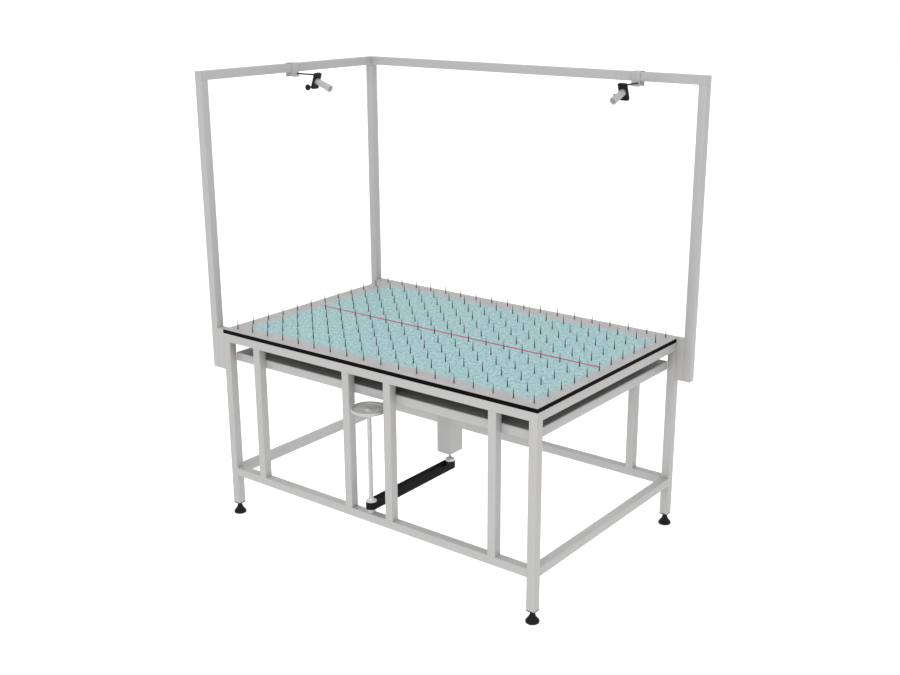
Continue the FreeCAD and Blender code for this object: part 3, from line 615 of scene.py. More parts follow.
def turned_wheel():
    """Handwheel's finish, with a face painted paler as painted light, and highlights drawn out round the
    axis.

    The shader's tangent is (p - c) x Z, square to the radius at each point p.
    """
    material = coated(
        "turned_wheel", wheel_colour_with_painted_light, 0.36, clouds=(12, 0.04), grain=(1200, 0.03), scuffs=0.10,
        bump=0.05, metallic=0.35,
    )
    tree = material.node_tree
    arm = from_wheel_axis(tree, tree.nodes["Texture Coordinate"].outputs["Object"])
    turned = tree.nodes.new("ShaderNodeVectorTransform")
    turned.vector_type = "VECTOR"
    turned.convert_from = "OBJECT"
    turned.convert_to = "WORLD"
    feed(tree, turned.inputs[0], vector_maths(tree, "CROSS_PRODUCT", arm, (0.0, 0.0, 1.0)))
    feed_all(tree, tree.nodes["Principled BSDF"], {"Tangent": turned.outputs[0], "Anisotropic": 0.8})
    return material


def plate_wood():
    """Dark film-faced plywood of the pin plate, with grain along X."""
    material, tree, shader, coordinates = start_material("plate_wood")
    grain = noise(tree, stretched(tree, coordinates, (1.0, 26.0, 26.0)), 5.0, 8.0, 0.6)
    share = ranged(tree, grain, 0.3, 0.7)
    feed_all(tree, shader, {
        "Base Color": mixed(tree, share, (0.075, 0.070, 0.064), (0.110, 0.103, 0.095)),
        "Roughness": ranged(tree, grain, 0.2, 0.8, 0.5, 0.7),
    })
    add_bump(tree, shader, grain, 0.2, 0.0004)
    return material


def metal(name, colour, roughness, crowding, scale, metallic=1.0, lens=False):
    """Turned or ground metal, whose marks are noise crowded along Z by a factor.

    With a lens, the points whose lens attribute is one become a warm grey window.
    """
    material, tree, shader, coordinates = start_material(name)
    lines = noise(tree, stretched(tree, coordinates, (1, 1, crowding)), scale, 4.0, 0.6)
    cloud = noise(tree, coordinates, 25.0, 3.0)
    low = [part * 0.86 for part in colour]
    high = [min(1.0, part * 1.10) for part in colour]
    tone = mixed(tree, ranged(tree, lines, 0.25, 0.75), low, high)
    if lens:
        mask = tree.nodes.new("ShaderNodeAttribute")
        mask.attribute_name = "lens"
        tone = mixed(tree, mask.outputs["Fac"], tone, (0.26, 0.23, 0.23))
    both = plus(tree, times(tree, lines, 0.5), times(tree, cloud, 0.5))
    rough = ranged(tree, both, 0.3, 0.7, roughness - 0.06, roughness + 0.06)
    feed_all(tree, shader, {"Base Color": tone, "Roughness": rough, "Metallic": metallic})
    add_bump(tree, shader, lines, 0.12, 0.0002)
    return material


def worktop():
    """Pale warm laminate with a light-blue field, its ragged edge and the laser line.

    The field is a soft box |x - cx| < hx, |y - cy| < hy whose edge distance is moved
    by noise. Inside it teal, pale blue and grey-lilac patches mix by noises that run
    along its threads. The laser line is painted light, a red colour with a faint glow
    in a narrow band round one y, between two values of x, on the upper face alone.
    """
    material, tree, shader, coordinates = start_material("worktop")
    x, y, z = split(tree, coordinates)
    ragged = noise(tree, coordinates, 32.0, 6.0, 0.65)
    broad = noise(tree, coordinates, 7.0, 3.0, 0.5)
    wobble = plus(tree, centred(tree, ragged, 0.060), centred(tree, broad, 0.050))
    edges = [
        maths(tree, "SUBTRACT", half, away(tree, part, middle))
        for part, middle, half in zip((x, y), FIELD_CENTRE, FIELD_HALF)
    ]
    inward = plus(tree, maths(tree, "MINIMUM", *edges), wobble)
    field = ranged(tree, inward, *FIELD_EDGE, curve="SMOOTHSTEP")

    weave = tree.nodes.new("ShaderNodeVectorRotate")
    weave.rotation_type = "Z_AXIS"
    feed_all(tree, weave, {"Vector": coordinates, "Angle": WEAVE_ANGLE})
    threads = weave.outputs["Vector"]
    fine = noise(tree, stretched(tree, threads, (1.5, 0.6, 1.0)), 100.0, 4.0, 0.7)
    patches = noise(tree, stretched(tree, threads, (1.7, 1.0, 1.0)), 40.0, 5.0, 0.7)
    spots = noise(tree, stretched(tree, threads, (1.4, 1.1, 1.0)), 55.0, 4.0, 0.65)
    lilac = ranged(tree, spots, 0.50, 0.62)
    teal = mixed(tree, ranged(tree, patches, 0.42, 0.58), (0.115, 0.335, 0.355), (0.400, 0.590, 0.605))
    mottled = mixed(tree, ranged(tree, fine, 0.44, 0.62), teal, (0.240, 0.440, 0.460))
    blue = mixed(tree, times(tree, lilac, 0.70), mottled, (0.450, 0.450, 0.490))
    cloud = noise(tree, coordinates, 9.0, 4.0, 0.5)
    laminate = mixed(tree, ranged(tree, cloud, 0.35, 0.65), (0.355, 0.345, 0.347), (0.400, 0.393, 0.396))
    surface = mixed(tree, field, laminate, blue)

    # Painted light of the laser: a red band with a faint glow.
    along = times(tree, ranged(tree, x, *LINE_LEFT), ranged(tree, x, *LINE_RIGHT, 1.0, 0.0))
    across = ranged(tree, away(tree, y, LINE_Y), LINE_HALF_WIDTH, LINE_HALF_WIDTH + LINE_FADE, 1.0, 0.0)
    painted_laser_line = times(tree, times(tree, across, along), ranged(tree, z, -0.0006, -0.0003))
    feed_all(tree, shader, {
        "Base Color": mixed(tree, times(tree, painted_laser_line, 0.95), surface, (0.36, 0.012, 0.085)),
        "Roughness": ranged(tree, fine, 0.3, 0.7, 0.44, 0.56),
        "Specular IOR Level": 0.35,
        "Emission Color": mixed(tree, painted_laser_line, (0.0, 0.0, 0.0), (0.9, 0.04, 0.09)),
        "Emission Strength": 0.04,
    })
    add_bump(tree, shader, fine, 0.08, 0.0003)
    return material


def pin_steel():
    """Blued steel of the pins, darkest at the foot and paler towards the tip."""
    material, tree, shader, coordinates = start_material("pin_steel")
    lines = noise(tree, stretched(tree, coordinates, (1, 1, 6)), 160.0, 3.0)
    height = plus(tree, split(tree, coordinates)[2], times(tree, lines, 0.008))
    rise = ranged(tree, height, 0.006, 0.048)
    feed_all(tree, shader, {
        "Base Color": mixed(tree, rise, (0.008, 0.014, 0.014), (0.10, 0.13, 0.13)),
        "Roughness": ranged(tree, lines, 0.3, 0.7, 0.28, 0.42),
        "Metallic": 0.6,
    })
    add_bump(tree, shader, lines, 0.1, 0.0001)
    return material


# The finish of each material slot, under the slot's name, which Blender ends with a
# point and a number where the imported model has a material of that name
FINISHES = {material.name.split(".")[0]: material for material in (
    coated("frame_paint", (0.352, 0.348, 0.344), 0.42, (6, 0.03), (1400, 0.03), 0.10, spread=0.12),
    coated("wheel_paint", (0.53, 0.53, 0.52), 0.36, (12, 0.05), (1200, 0.03), 0.20),
    coated("black_plastic", BLACK, 0.48, (30, 0.20), (1500, 0.20), 0.03, specular=0.12, bump=0.25),
    coated("black_metal", BLACK, 0.40, (30, 0.15), (1800, 0.15), 0.05, specular=0.12),
    coated("belt_rubber", BLACK, 0.62, (14, 0.25), (700, 0.25), 0.04, specular=0.08, bump=0.35),
    coated("edge_band", (0.003, 0.003, 0.003), 0.55, (8, 0.20), (900, 0.20), 0.015, specular=0.02),
    metal("barrel_metal", (0.39, 0.39, 0.385), 0.42, 1, 160.0, metallic=0.25, lens=True),
    metal("shaft_steel", (0.42, 0.42, 0.42), 0.36, 12, 60.0, metallic=0.5),
    metal("ground_steel", (0.60, 0.60, 0.61), 0.20, 14, 80.0),
    metal("bronze", (0.50, 0.33, 0.15), 0.32, 10, 70.0),
    worktop(), pin_steel(), plate_wood(),
)}
# Darker grey for the lift frame's panel: painted shade for the shadow under the board.
PANEL_STEEL_PAINTED_SHADE = coated("panel_steel_painted_shade", (0.245, 0.245, 0.243), 0.50, (18, 0.08), (900, 0.05), 0.05)
# Screw pulley coloured black below the belt's upper edge.
BELOW_BELT_BLACK_PULLEY = coated("below_belt_black_pulley", below_belt_black_colour, 0.40, (12, 0.05), (1200, 0.03), 0.10)
# The handwheel's material, whose face is painted paler as painted light.
TURNED_WHEEL_WITH_PAINTED_LIGHT = turned_wheel()

for row in frame["record"]["subparts"]:
    node = NODES.get(row["node"])
    if node is not None:
        node.data.materials.clear()
        node.data.materials.append(FINISHES[row["material_slot"]])
# The panel takes the darker grey, as painted shade.
NODES["lift_frame_panel"].data.materials[0] = PANEL_STEEL_PAINTED_SHADE


def make_camera():
    """Camera at the photograph's place, with its lens and framing."""
    data = bpy.data.cameras.new("camera")
    data.sensor_width = 36
    data.lens = CAMERA_LENS
    data.shift_x, data.shift_y = CAMERA_SHIFT
    camera = bpy.data.objects.new("camera", data)
    camera.location = CAMERA_PLACE
    camera.rotation_euler = (math.pi / 2 + CAMERA_PITCH, 0, CAMERA_YAW)
    bpy.context.scene.collection.objects.link(camera)
    bpy.context.scene.camera = camera


def make_light(name, spot, target, size, power):
    """Square soft light aimed at a point."""
    data = bpy.data.lights.new(name, "AREA")
    data.size = size
    data.energy = power
    lamp = bpy.data.objects.new(name, data)
    aim = np.asarray(target, float) - np.asarray(spot, float)
    lamp.location = spot
    lamp.rotation_euler = (math.atan2(math.hypot(aim[0], aim[1]), -aim[2]), 0, math.atan2(-aim[0], aim[1]))
    bpy.context.scene.collection.objects.link(lamp)


def make_studio():
    """Pale floor, even surround and soft lights from the camera's side."""
    reach = 30.0
    corners = [(x * reach, y * reach, FLOOR_LEVEL) for x, y in ((-1, -1), (1, -1), (1, 1), (-1, 1))]
    mesh = bpy.data.meshes.new("floor")
    mesh.from_pydata(corners, [], [(0, 1, 2, 3)])
    material, tree, shader, coordinates = start_material("studio_floor")
    soft = ranged(tree, noise(tree, coordinates, 0.6, 2.0), 0.3, 0.7)
    feed_all(tree, shader, {
        "Base Color": mixed(tree, soft, (0.93, 0.93, 0.93), (0.95, 0.95, 0.95)),
        "Roughness": 0.9, "Specular IOR Level": 0.1,
        "Emission Color": (1.0, 1.0, 1.0), "Emission Strength": 0.31,
    })
    mesh.materials.append(material)
    floor = bpy.data.objects.new("floor", mesh)
    bpy.context.scene.collection.objects.link(floor)

    world = bpy.data.worlds.new("studio")
    world.use_nodes = True
    tree = world.node_tree
    feed_all(tree, tree.nodes["Background"], {"Color": (1.0, 1.0, 1.0), "Strength": 1.0})
    bpy.context.scene.world = world
    for light in LIGHTS:
        make_light(*light)


def hollow_tube(low, high, bend=TUBE_BEND, wall=TUBE_WALL):
    """Hollow tube that fills a box, with its length along the box's longest side.

    The outer and the inner outline are carried from one end to the other, and the
    two end faces join them, so the surface is closed.
    """
    low = np.asarray(low, float)
    high = np.asarray(high, float)
    lengths = high - low
    axis = int(np.argmax(lengths))
    across = [index for index in range(3) if index != axis]
    outer = tube_section(*lengths[across], bend)
    inner = tube_section(*(lengths[across] - 2 * wall), max(bend - wall, bend / 3))
    rings = np.empty((4, len(outer), 3))
    for ring, outline, end in zip(rings, (outer, outer, inner, inner), (low, high, high, low)):
        ring[:, across] = outline + ((low + high) / 2)[across]
        ring[:, axis] = end[axis]
    tube = closed_rings(rings)
    return flipped(tube) if axis == 1 else tube


def mitred(tube, axis, side):
    """Tube whose end points are moved onto planes at 45 degrees.

    A point that lies d inside the tube's long face, which is on the given side, moves
    by d towards the tube's middle.
    """
    points, faces = tube
    low = points.min(axis=0)
    high = points.max(axis=0)
    other = 1 - axis
    depth = points[:, other] - low[other] if side < 0 else high[other] - points[:, other]
    moved = points.copy()
    moved[:, axis] -= np.sign(points[:, axis] - (low[axis] + high[axis]) / 2) * depth
    return moved, faces


def make_tubes():
    """Every square tube of the frame, with the small bend along its edges."""
    singles = [
        name for name in NODES
        if name.startswith(("top_rail", "leg_", "lower_rail", "gantry_post", "laser_bar_"))
    ]
    mitres = {
        "lift_frame_front": (0, -1), "lift_frame_back": (0, 1),
        "lift_frame_left": (1, -1), "lift_frame_right": (1, 1),
    }
    for name in singles + list(mitres):
        tube = hollow_tube(*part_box(name))
        if name in mitres:
            tube = mitred(tube, *mitres[name])
        new_piece(f"{name}_tube", name, tube, "table", "frame_paint", 30)

    posts = [(x,) for x in (-OUTER_POST, -INNER_POST, INNER_POST, OUTER_POST)]
    groups = {
        "front_posts": posts,
        "back_posts": posts,
        "lift_frame_cross_tubes": [(-CROSS_TUBE,), (CROSS_TUBE,)],
        "gantry_spacers": [(-SPACER_LINE, -RAIL_LINE), (-SPACER_LINE, RAIL_LINE), (SPACER_LINE, RAIL_LINE)],
    }
    for name, places in groups.items():
        tubes = []
        for middles in places:
            low, high = (np.array(corner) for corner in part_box(name))
            for axis, middle in enumerate(middles):
                low[axis], high[axis] = middle - TUBE / 2, middle + TUBE / 2
            tubes.append(hollow_tube(low, high))
        new_piece(f"{name}_tubes", name, merge(tubes), "table", "frame_paint", 30)


def pin_places(count):
    """Places of a row of pins, (i - (n - 1) / 2) pitches from the middle."""
    return (np.arange(count) - (count - 1) / 2) * PIN_PITCH


def pin_centres():
    """Centres of all pins, column by column."""
    grid = np.meshgrid(pin_places(PIN_COLUMNS), pin_places(PIN_ROWS), indexing="ij")
    return np.stack(grid, axis=-1).reshape(-1, 2)


def make_board():
    """Board of square cells, each with a round chamfered hole for its pin.

    In a cell the rings share one angle t: the holes are c + r (cos t, sin t), and the
    cell's edge is c + (p / 2) (cos t, sin t) / max(|cos t|, |sin t|), held to the board.
    """
    turns = 16
    ray = rays(TAU * np.arange(turns) / turns)
    square = ray / np.abs(ray).max(axis=1, keepdims=True) * PIN_PITCH / 2
    outlines = (
        (square, -BOARD_THICKNESS), (ray * HOLE_RADIUS, -BOARD_THICKNESS),
        (ray * HOLE_RADIUS, -HOLE_CHAMFER), (ray * (HOLE_RADIUS + HOLE_CHAMFER), 0.0), (square, 0.0),
    )
    centres = pin_centres()[:, None]
    cells = np.empty((len(centres), len(outlines), turns, 3))
    for index, (outline, level) in enumerate(outlines):
        cells[:, index, :, :2] = np.clip(centres + outline, -BOARD_HALF, BOARD_HALF)
        cells[:, index, :, 2] = level
    one = grid_faces(len(outlines), turns)[:, ::-1]
    starts = np.arange(len(cells))[:, None, None] * len(outlines) * turns
    points = cells.reshape(-1, 3)
    faces = [(one + starts).reshape(-1, 4)]

    step = np.tan(TAU / turns * np.arange(-2, 3)) * PIN_PITCH / 2
    for axis, count in enumerate((PIN_COLUMNS, PIN_ROWS)):
        held = np.clip(pin_places(count)[:, None] + step, -BOARD_HALF[axis], BOARD_HALF[axis])
        run = np.unique(np.round(held, 9))
        for sign in (-1, 1):
            strip = np.zeros((2, len(run), 3))
            strip[:, :, axis] = run
            strip[:, :, 1 - axis] = sign * BOARD_HALF[1 - axis]
            strip[0, :, 2] = -BOARD_THICKNESS
            quads = grid_faces(2, len(run), closed_columns=False) + len(points)
            faces.append(quads[:, ::-1] if (sign > 0) == (axis == 0) else quads)
            points = np.vstack([points, strip.reshape(-1, 3)])
    new_piece("worktop_board", "table_board", welded((points, faces)), "table", "worktop", 30)


def make_edge_band():
    """Band carried round the board, its profile rounded above and below.

    A profile point with inset d and level z follows the rounded rectangle
    c + (b - d)(cos t, sin t), where c runs over the board's four corners and b is the
    band's thickness.
    """
    rounding = 0.0008
    profile = round_corners([
        (BAND_THICKNESS, 0), (0, 0), (0, -BOARD_THICKNESS), (BAND_THICKNESS, -BOARD_THICKNESS),
    ], rounding)
    corners, ray = corner_rays(BOARD_HALF, 4)
    rings = [at_level(corners + (BAND_THICKNESS - inset) * ray, level) for inset, level in profile]
    band = welded(flipped(closed_rings(rings)))
    new_piece("board_edge_band", "edge_band", band, "table", "edge_band", 40)


def make_pins():
    """Slim pins, each a surface of revolution with a shank, a long taper and a point."""
    taper = ((1.0, 0.006), (0.88, 0.018), (0.60, 0.032), (0.28, 0.041))
    profile = [(0, PIN_PLATE_TOP), (PIN_RADIUS, PIN_PLATE_TOP)]
    profile += [(share * PIN_RADIUS, level) for share, level in taper]
    pin = lathe(profile + [(0, PIN_TIP)], 8)
    pins = merge([shifted(pin, (x, y, 0)) for x, y in pin_centres()])
    new_piece("pin_points", "pins", pins, "pin_lift", "pin_steel", 60)


def turned(node, bore, steps, soft=SOFT_EDGE, turns=64, rounding=3):
    """Solid turned about Z to the height of a node, with softened corners.

    A step's level counts down from the node's top where it is zero or less, and up
    from its bottom where it is more.
    """
    bottom, top = (corner[2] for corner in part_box(node))
    steps = [(radius, (bottom if level > 0 else top) + level, *taper) for radius, level, *taper in steps]
    return lathe(round_corners(stepped(bore, bottom, steps), soft, rounding), turns)


def make_handwheel():
    """Dished wheel: a rounded rim, a thin web and a hub with a raised boss."""
    low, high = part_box("handwheel")
    radius = (high[0] - low[0]) / 2
    steps = ((HUB_RADIUS, 0.006), (radius, 0), (radius - WHEEL_RIM, 0.011), (HUB_RADIUS, -0.005))
    disc = shifted(turned("handwheel", SHAFT_RADIUS, steps, 0.004, 96, 5), (0, -RAIL_LINE, 0))
    new_piece("handwheel_disc", "handwheel", disc, "drive", "wheel_paint", 40, TURNED_WHEEL_WITH_PAINTED_LIGHT)


def make_shaft():
    """Long shaft of the handwheel, chamfered at both ends and at its journal."""
    low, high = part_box("drive_shaft")
    bottom, top = low[2], high[2]
    shoulder = bottom + JOURNAL_LENGTH
    chamfer = 0.0008
    shaft = lathe([
        (0, bottom), (JOURNAL_RADIUS - chamfer, bottom), (JOURNAL_RADIUS, bottom + chamfer),
        (JOURNAL_RADIUS, shoulder), (SHAFT_RADIUS - SOFT_EDGE, shoulder),
        (SHAFT_RADIUS, shoulder + SOFT_EDGE), (SHAFT_RADIUS, top - chamfer), (SHAFT_RADIUS - chamfer, top),
        (0, top),
    ], 48)
    shaft = shifted(shaft, (0, -RAIL_LINE, 0))
    new_piece("handwheel_shaft", "drive_shaft", shaft, "drive", "shaft_steel", 40)


def make_belt():
    """Flat belt: a rounded section carried round two half turns and two straight runs.

    A section point at radius r and level z runs through (r cos t, c + r sin t, z), with
    c at the far pulley's axis for the first half turn and at the near one's after it.
    """
    rounding = 0.0008
    steps = 33
    low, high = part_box("drive_belt")
    bottom, top = low[2], high[2]
    outer = (high[0] - low[0]) / 2
    inner = outer - BELT_THICKNESS
    middle = outer - BELT_THICKNESS / 2
    section = round_corners([
        (middle, top), (outer, top), (outer, bottom), (inner, bottom), (inner, top), (middle, top),
    ], rounding)[:-1]
    turn = np.linspace(0, math.pi, steps)
    ray = rays(np.concatenate([turn, turn + math.pi]))
    centre = np.zeros((2 * steps, 2))
    centre[:, 1] = np.repeat([high[1] - outer, low[1] + outer], steps)
    rings = [at_level(centre + radius * ray, level) for radius, level in section]
    new_piece("belt_loop", "drive_belt", flipped(closed_rings(rings)), "table", "belt_rubber", 40)


def thread_rows(start, end, crest, root, pitch):
    """Profile rows of a thread: root and crest by turns, half a pitch apart."""
    levels = np.arange(start, end, pitch / 2)
    radius = np.where(np.arange(len(levels)) % 2 == 0, root, crest)
    return np.stack([radius, levels], axis=-1)


def make_feet():
    """Bell feet: a smooth curve through measured radii, with a thread below the plug.

    The curve's rows are read between the measured ones, and each radius r is then
    moved to (before + 2 r + after) / 4.
    """
    heights = np.array([0.0005, 0.003, 0.009, 0.014, 0.019, 0.024, 0.030, 0.036, 0.042, 0.0475])
    radii = np.array([0.0285, 0.0300, 0.0298, 0.0262, 0.0218, 0.0182, 0.0150, 0.0126, 0.0112, 0.0108])
    sole = 0.0275
    neck, neck_top = 0.0100, 0.0483
    thread_foot = heights[-1] + 0.0004
    level = np.linspace(heights[0], heights[-1], 34)
    bell = np.stack([np.interp(level, heights, radii), level], axis=-1)
    bell[1:-1, 0] = (bell[:-2, 0] + 2 * bell[1:-1, 0] + bell[2:, 0]) / 4
    for name in [name for name in NODES if name.startswith("foot_") and name != "foot_plugs"]:
        low, high = (np.array(corner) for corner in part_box(name))
        middle = (low + high) / 2
        top = high[2] - low[2]
        thread = thread_rows(thread_foot, top - 0.001, FOOT_THREAD, FOOT_THREAD - 0.0003, 0.0012)
        foot = lathe(np.vstack([
            [(0, 0), (sole, 0)], bell, [(neck, neck_top), (FOOT_THREAD, neck_top)], thread,
            [(FOOT_THREAD - 0.001, top), (0, top)],
        ]))
        foot = shifted(foot, (middle[0], middle[1], low[2]))
        new_piece(f"{name}_bell", name, foot, name, "black_plastic", 50)


def cap_and_plug(face, axis, direction):
    """Square cap with rounded edges and its plug, pushed into a tube's end."""
    cap = extruded(tube_section(TUBE, TUBE, TUBE_BEND), 0, CAP_THICKNESS, SOFT_EDGE)
    square = tube_section(PLUG_WIDTH, PLUG_WIDTH, PLUG_BEND)
    plug = extruded(square, CAP_THICKNESS, CAP_THICKNESS + CAP_PLUG)
    inward = np.zeros(3)
    inward[axis] = direction
    return placed(merge([cap, plug]), face, (1, 0, 0) if axis == 2 else (0, 0, 1), inward)


def make_caps():
    """Caps of the gantry's open tube ends."""
    ends = []
    for side_x, side_y in ((-1, -1), (-1, 1), (1, 1)):
        y = side_y * RAIL_LINE
        ends.append(((side_x * POST_LINE, y, -SPACER_HEIGHT), 2, 1))
        ends.append(((side_x * SPACER_LINE, y, -SPACER_HEIGHT), 2, 1))
        ends.append(((side_x * SPACER_LINE, y, 0.0), 2, -1))
    ends.append(((-POST_LINE, -HALF_WIDTH, BAR_LINE), 1, 1))
    for side in (-1, 1):
        ends.append(((side * (POST_LINE + TUBE / 2), RAIL_LINE, BAR_LINE), 0, -side))
    caps = merge([cap_and_plug(*end) for end in ends])
    new_piece("gantry_caps", "gantry_end_caps", caps, "table", "frame_paint", 35)


def make_foot_plates():
    """Plates under the legs, and the plugs that the feet screw into."""
    square = tube_section(TUBE, TUBE, TUBE_BEND)
    plug = tube_section(PLUG_WIDTH, PLUG_WIDTH, PLUG_BEND)
    hole = FOOT_THREAD + RUNNING_GAP
    one = merge([
        ring_plate(square, hole, 0, FOOT_PLATE), ring_plate(plug, hole, FOOT_PLATE, FOOT_PLATE + FOOT_PLUG),
    ])
    leg_line = HALF_LENGTH - TUBE / 2
    plates = merge([
        shifted(one, (x, y, FLOOR_LEVEL + FOOT_HEIGHT))
        for x in (-leg_line, leg_line) for y in (-RAIL_LINE, RAIL_LINE)
    ])
    new_piece("foot_plates", "foot_plugs", plates, "table", "black_plastic", 35)


# Turned pieces: node, line of its axis along Y, body, slot, bore, steps and soft edge.
# The steps are read as the function above the handwheel's says.
TURNED_PIECES = (
    ("shaft_pulley", -RAIL_LINE, "drive", "wheel_paint", SHAFT_RADIUS,
     ((PULLEY_RADIUS, -0.016), (0.0245, -0.012), (0.016, 0, 0.012)), SOFT_EDGE),
    ("screw_pulley", 0, "screw", "wheel_paint", SPINDLE_RADIUS,
     ((PULLEY_RADIUS, -0.012), (0.022, 0), (0.018, -0.006), (0.010, 0)), SOFT_EDGE),
    ("shaft_bearing", -RAIL_LINE, "table", "frame_paint", JOURNAL_RADIUS + RUNNING_GAP,
     ((0.018, 0),), 0.0012),
    ("jack_bearing", 0, "table", "bronze", SPINDLE_RADIUS + RUNNING_GAP,
     ((BEARING_NECK, 0.006), (0.024, 0)), SOFT_EDGE),
    ("lift_guide", 0, "table", "bronze", LIFT_TUBE_RADIUS + RUNNING_GAP,
     ((0.026, -0.004), (0.036, 0)), SOFT_EDGE),
    ("lift_tube", 0, "pin_lift", "shaft_steel", LIFT_TUBE_BORE,
     ((LIFT_TUBE_RADIUS, -0.006), (0.045, 0)), SOFT_EDGE),
    ("lift_nut", 0, "pin_lift", "bronze", SCREW_RADIUS + RUNNING_GAP,
     ((LIFT_TUBE_RADIUS, 0.040), (LIFT_TUBE_BORE, 0)), SOFT_EDGE),
)


def make_turned_pieces():
    """Pulleys, bearings, nut, tube and guide, then the four rods and bushes."""
    for node, line, body, slot, bore, steps, soft in TURNED_PIECES:
        solid = shifted(turned(node, bore, steps, soft), (0, line, 0))
        finish = BELOW_BELT_BLACK_PULLEY if node == "screw_pulley" else None
        new_piece(f"{node}_turned", node, solid, body, slot, 40, finish)
    rod = turned("guide_rods", 0, ((ROD_RADIUS, 0),), 0.001, 40)
    bush = turned("guide_bushes", ROD_RADIUS + RUNNING_GAP, ((0.020, 0.004), (0.014, 0)), turns=48)
    places = [(x, y, 0) for x in (-ROD_X, ROD_X) for y in (-ROD_Y, ROD_Y)]
    for node, one, body, slot in (
        ("guide_rods", rod, "table", "ground_steel"), ("guide_bushes", bush, "pin_lift", "bronze"),
    ):
        new_piece(f"{node}_turned", node, merge([shifted(one, spot) for spot in places]), body, slot, 40)


def make_screw():
    """Jack screw with a two-start thread above its spindle.

    The thread's radius is R - d (1 - cos(2 (t - 2 pi z / lead))) / 2, for a lead of two
    pitches, faded out over a pitch at both ends.
    """
    depth = 0.0022
    turns = 28
    low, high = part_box("jack_screw")
    bottom, top = low[2], high[2]
    levels = np.arange(JACK_SHOULDER, top, SCREW_LEAD / 8)
    levels[-1] = top
    angle = TAU * np.arange(turns) / turns
    fade = np.clip(np.minimum(levels - JACK_SHOULDER, top - levels) / (SCREW_LEAD / 2), 0, 1)
    wave = (1 - np.cos(2 * (angle - TAU * levels[:, None] / SCREW_LEAD))) / 2
    shank = np.array([
        (SPINDLE_RADIUS - 0.0005, bottom), (SPINDLE_RADIUS, bottom + SOFT_EDGE),
        (SPINDLE_RADIUS, JACK_SHOULDER - SOFT_EDGE), (SPINDLE_RADIUS + SOFT_EDGE, JACK_SHOULDER),
    ])
    thread = SCREW_RADIUS - depth * wave * fade[:, None]
    radius = np.vstack([np.repeat(shank[:, :1], turns, axis=1), thread])
    rings = rings_about_z(radius, np.concatenate([shank[:, 1], levels])[:, None])
    screw = closed_rings(rings, (0, 0, bottom), (0, 0, top))
    new_piece("jack_screw_thread", "jack_screw", screw, "screw", "shaft_steel", 60)


def make_jack_box():
    """Folded box round the jack: four walls with rounded edges and a floor with a hole."""
    low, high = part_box("jack_box")
    walls = hollow_tube((low[0], low[1], low[2] + BOX_FLOOR), high, BOX_BEND, BOX_WALL)
    outline = tube_section(high[0] - low[0], high[1] - low[1], BOX_BEND)
    bottom = ring_plate(outline, BEARING_NECK + RUNNING_GAP, low[2], low[2] + BOX_FLOOR)
    new_piece("jack_box_walls", "jack_box", merge([walls, bottom]), "table", "frame_paint", 35)


def saddle_strap():
    """Strap bent over the bar, its outline carried along the bar."""
    outside = BAR_HALF + SADDLE_SHEET
    hem = TUBE / 2 - SADDLE_REACH
    outer = round_corners([
        (outside, hem), (outside, outside), (-outside, outside), (-outside, hem),
    ], SADDLE_BEND + SADDLE_SHEET, 6)
    inner = round_corners([
        (-BAR_HALF, hem), (-BAR_HALF, BAR_HALF), (BAR_HALF, BAR_HALF), (BAR_HALF, hem),
    ], SADDLE_BEND, 6)
    strap = extruded(np.vstack([outer, inner]), -SADDLE_WIDTH / 2, SADDLE_WIDTH / 2)
    return placed(strap, z_axis=(0, -1, 0))


def arm_rod():
    """Rod from its riveted end in the strap to its eye, and the eye's cross pin."""
    steps = (
        (RIVET_RADIUS, BAR_HALF), (SPIGOT_RADIUS, BAR_HALF + SADDLE_SHEET),
        (ARM_RADIUS, ARM_PIVOT[0] - 0.002),
    )
    rod = lathe(round_corners(stepped(0, BAR_HALF - RIVET_HEIGHT, steps), SOFT_EDGE), 28)
    parts = [placed(rod, (0, *ARM_PIVOT[1:]), (0, 0, -1), (1, 0, 0))]
    for radius, half, soft, turns in (
        (PIVOT_EYE, EAR_GAP - LOOSE_GAP, SOFT_EDGE, 32), (PIVOT_PIN, EAR_GAP + EAR_THICKNESS, 0.0004, 24),
    ):
        turned_part = lathe(round_corners(stepped(0, -half, [(radius, half)]), soft), turns)
        parts.append(placed(turned_part, ARM_PIVOT, z_axis=(0, -1, 0)))
    return merge(parts)


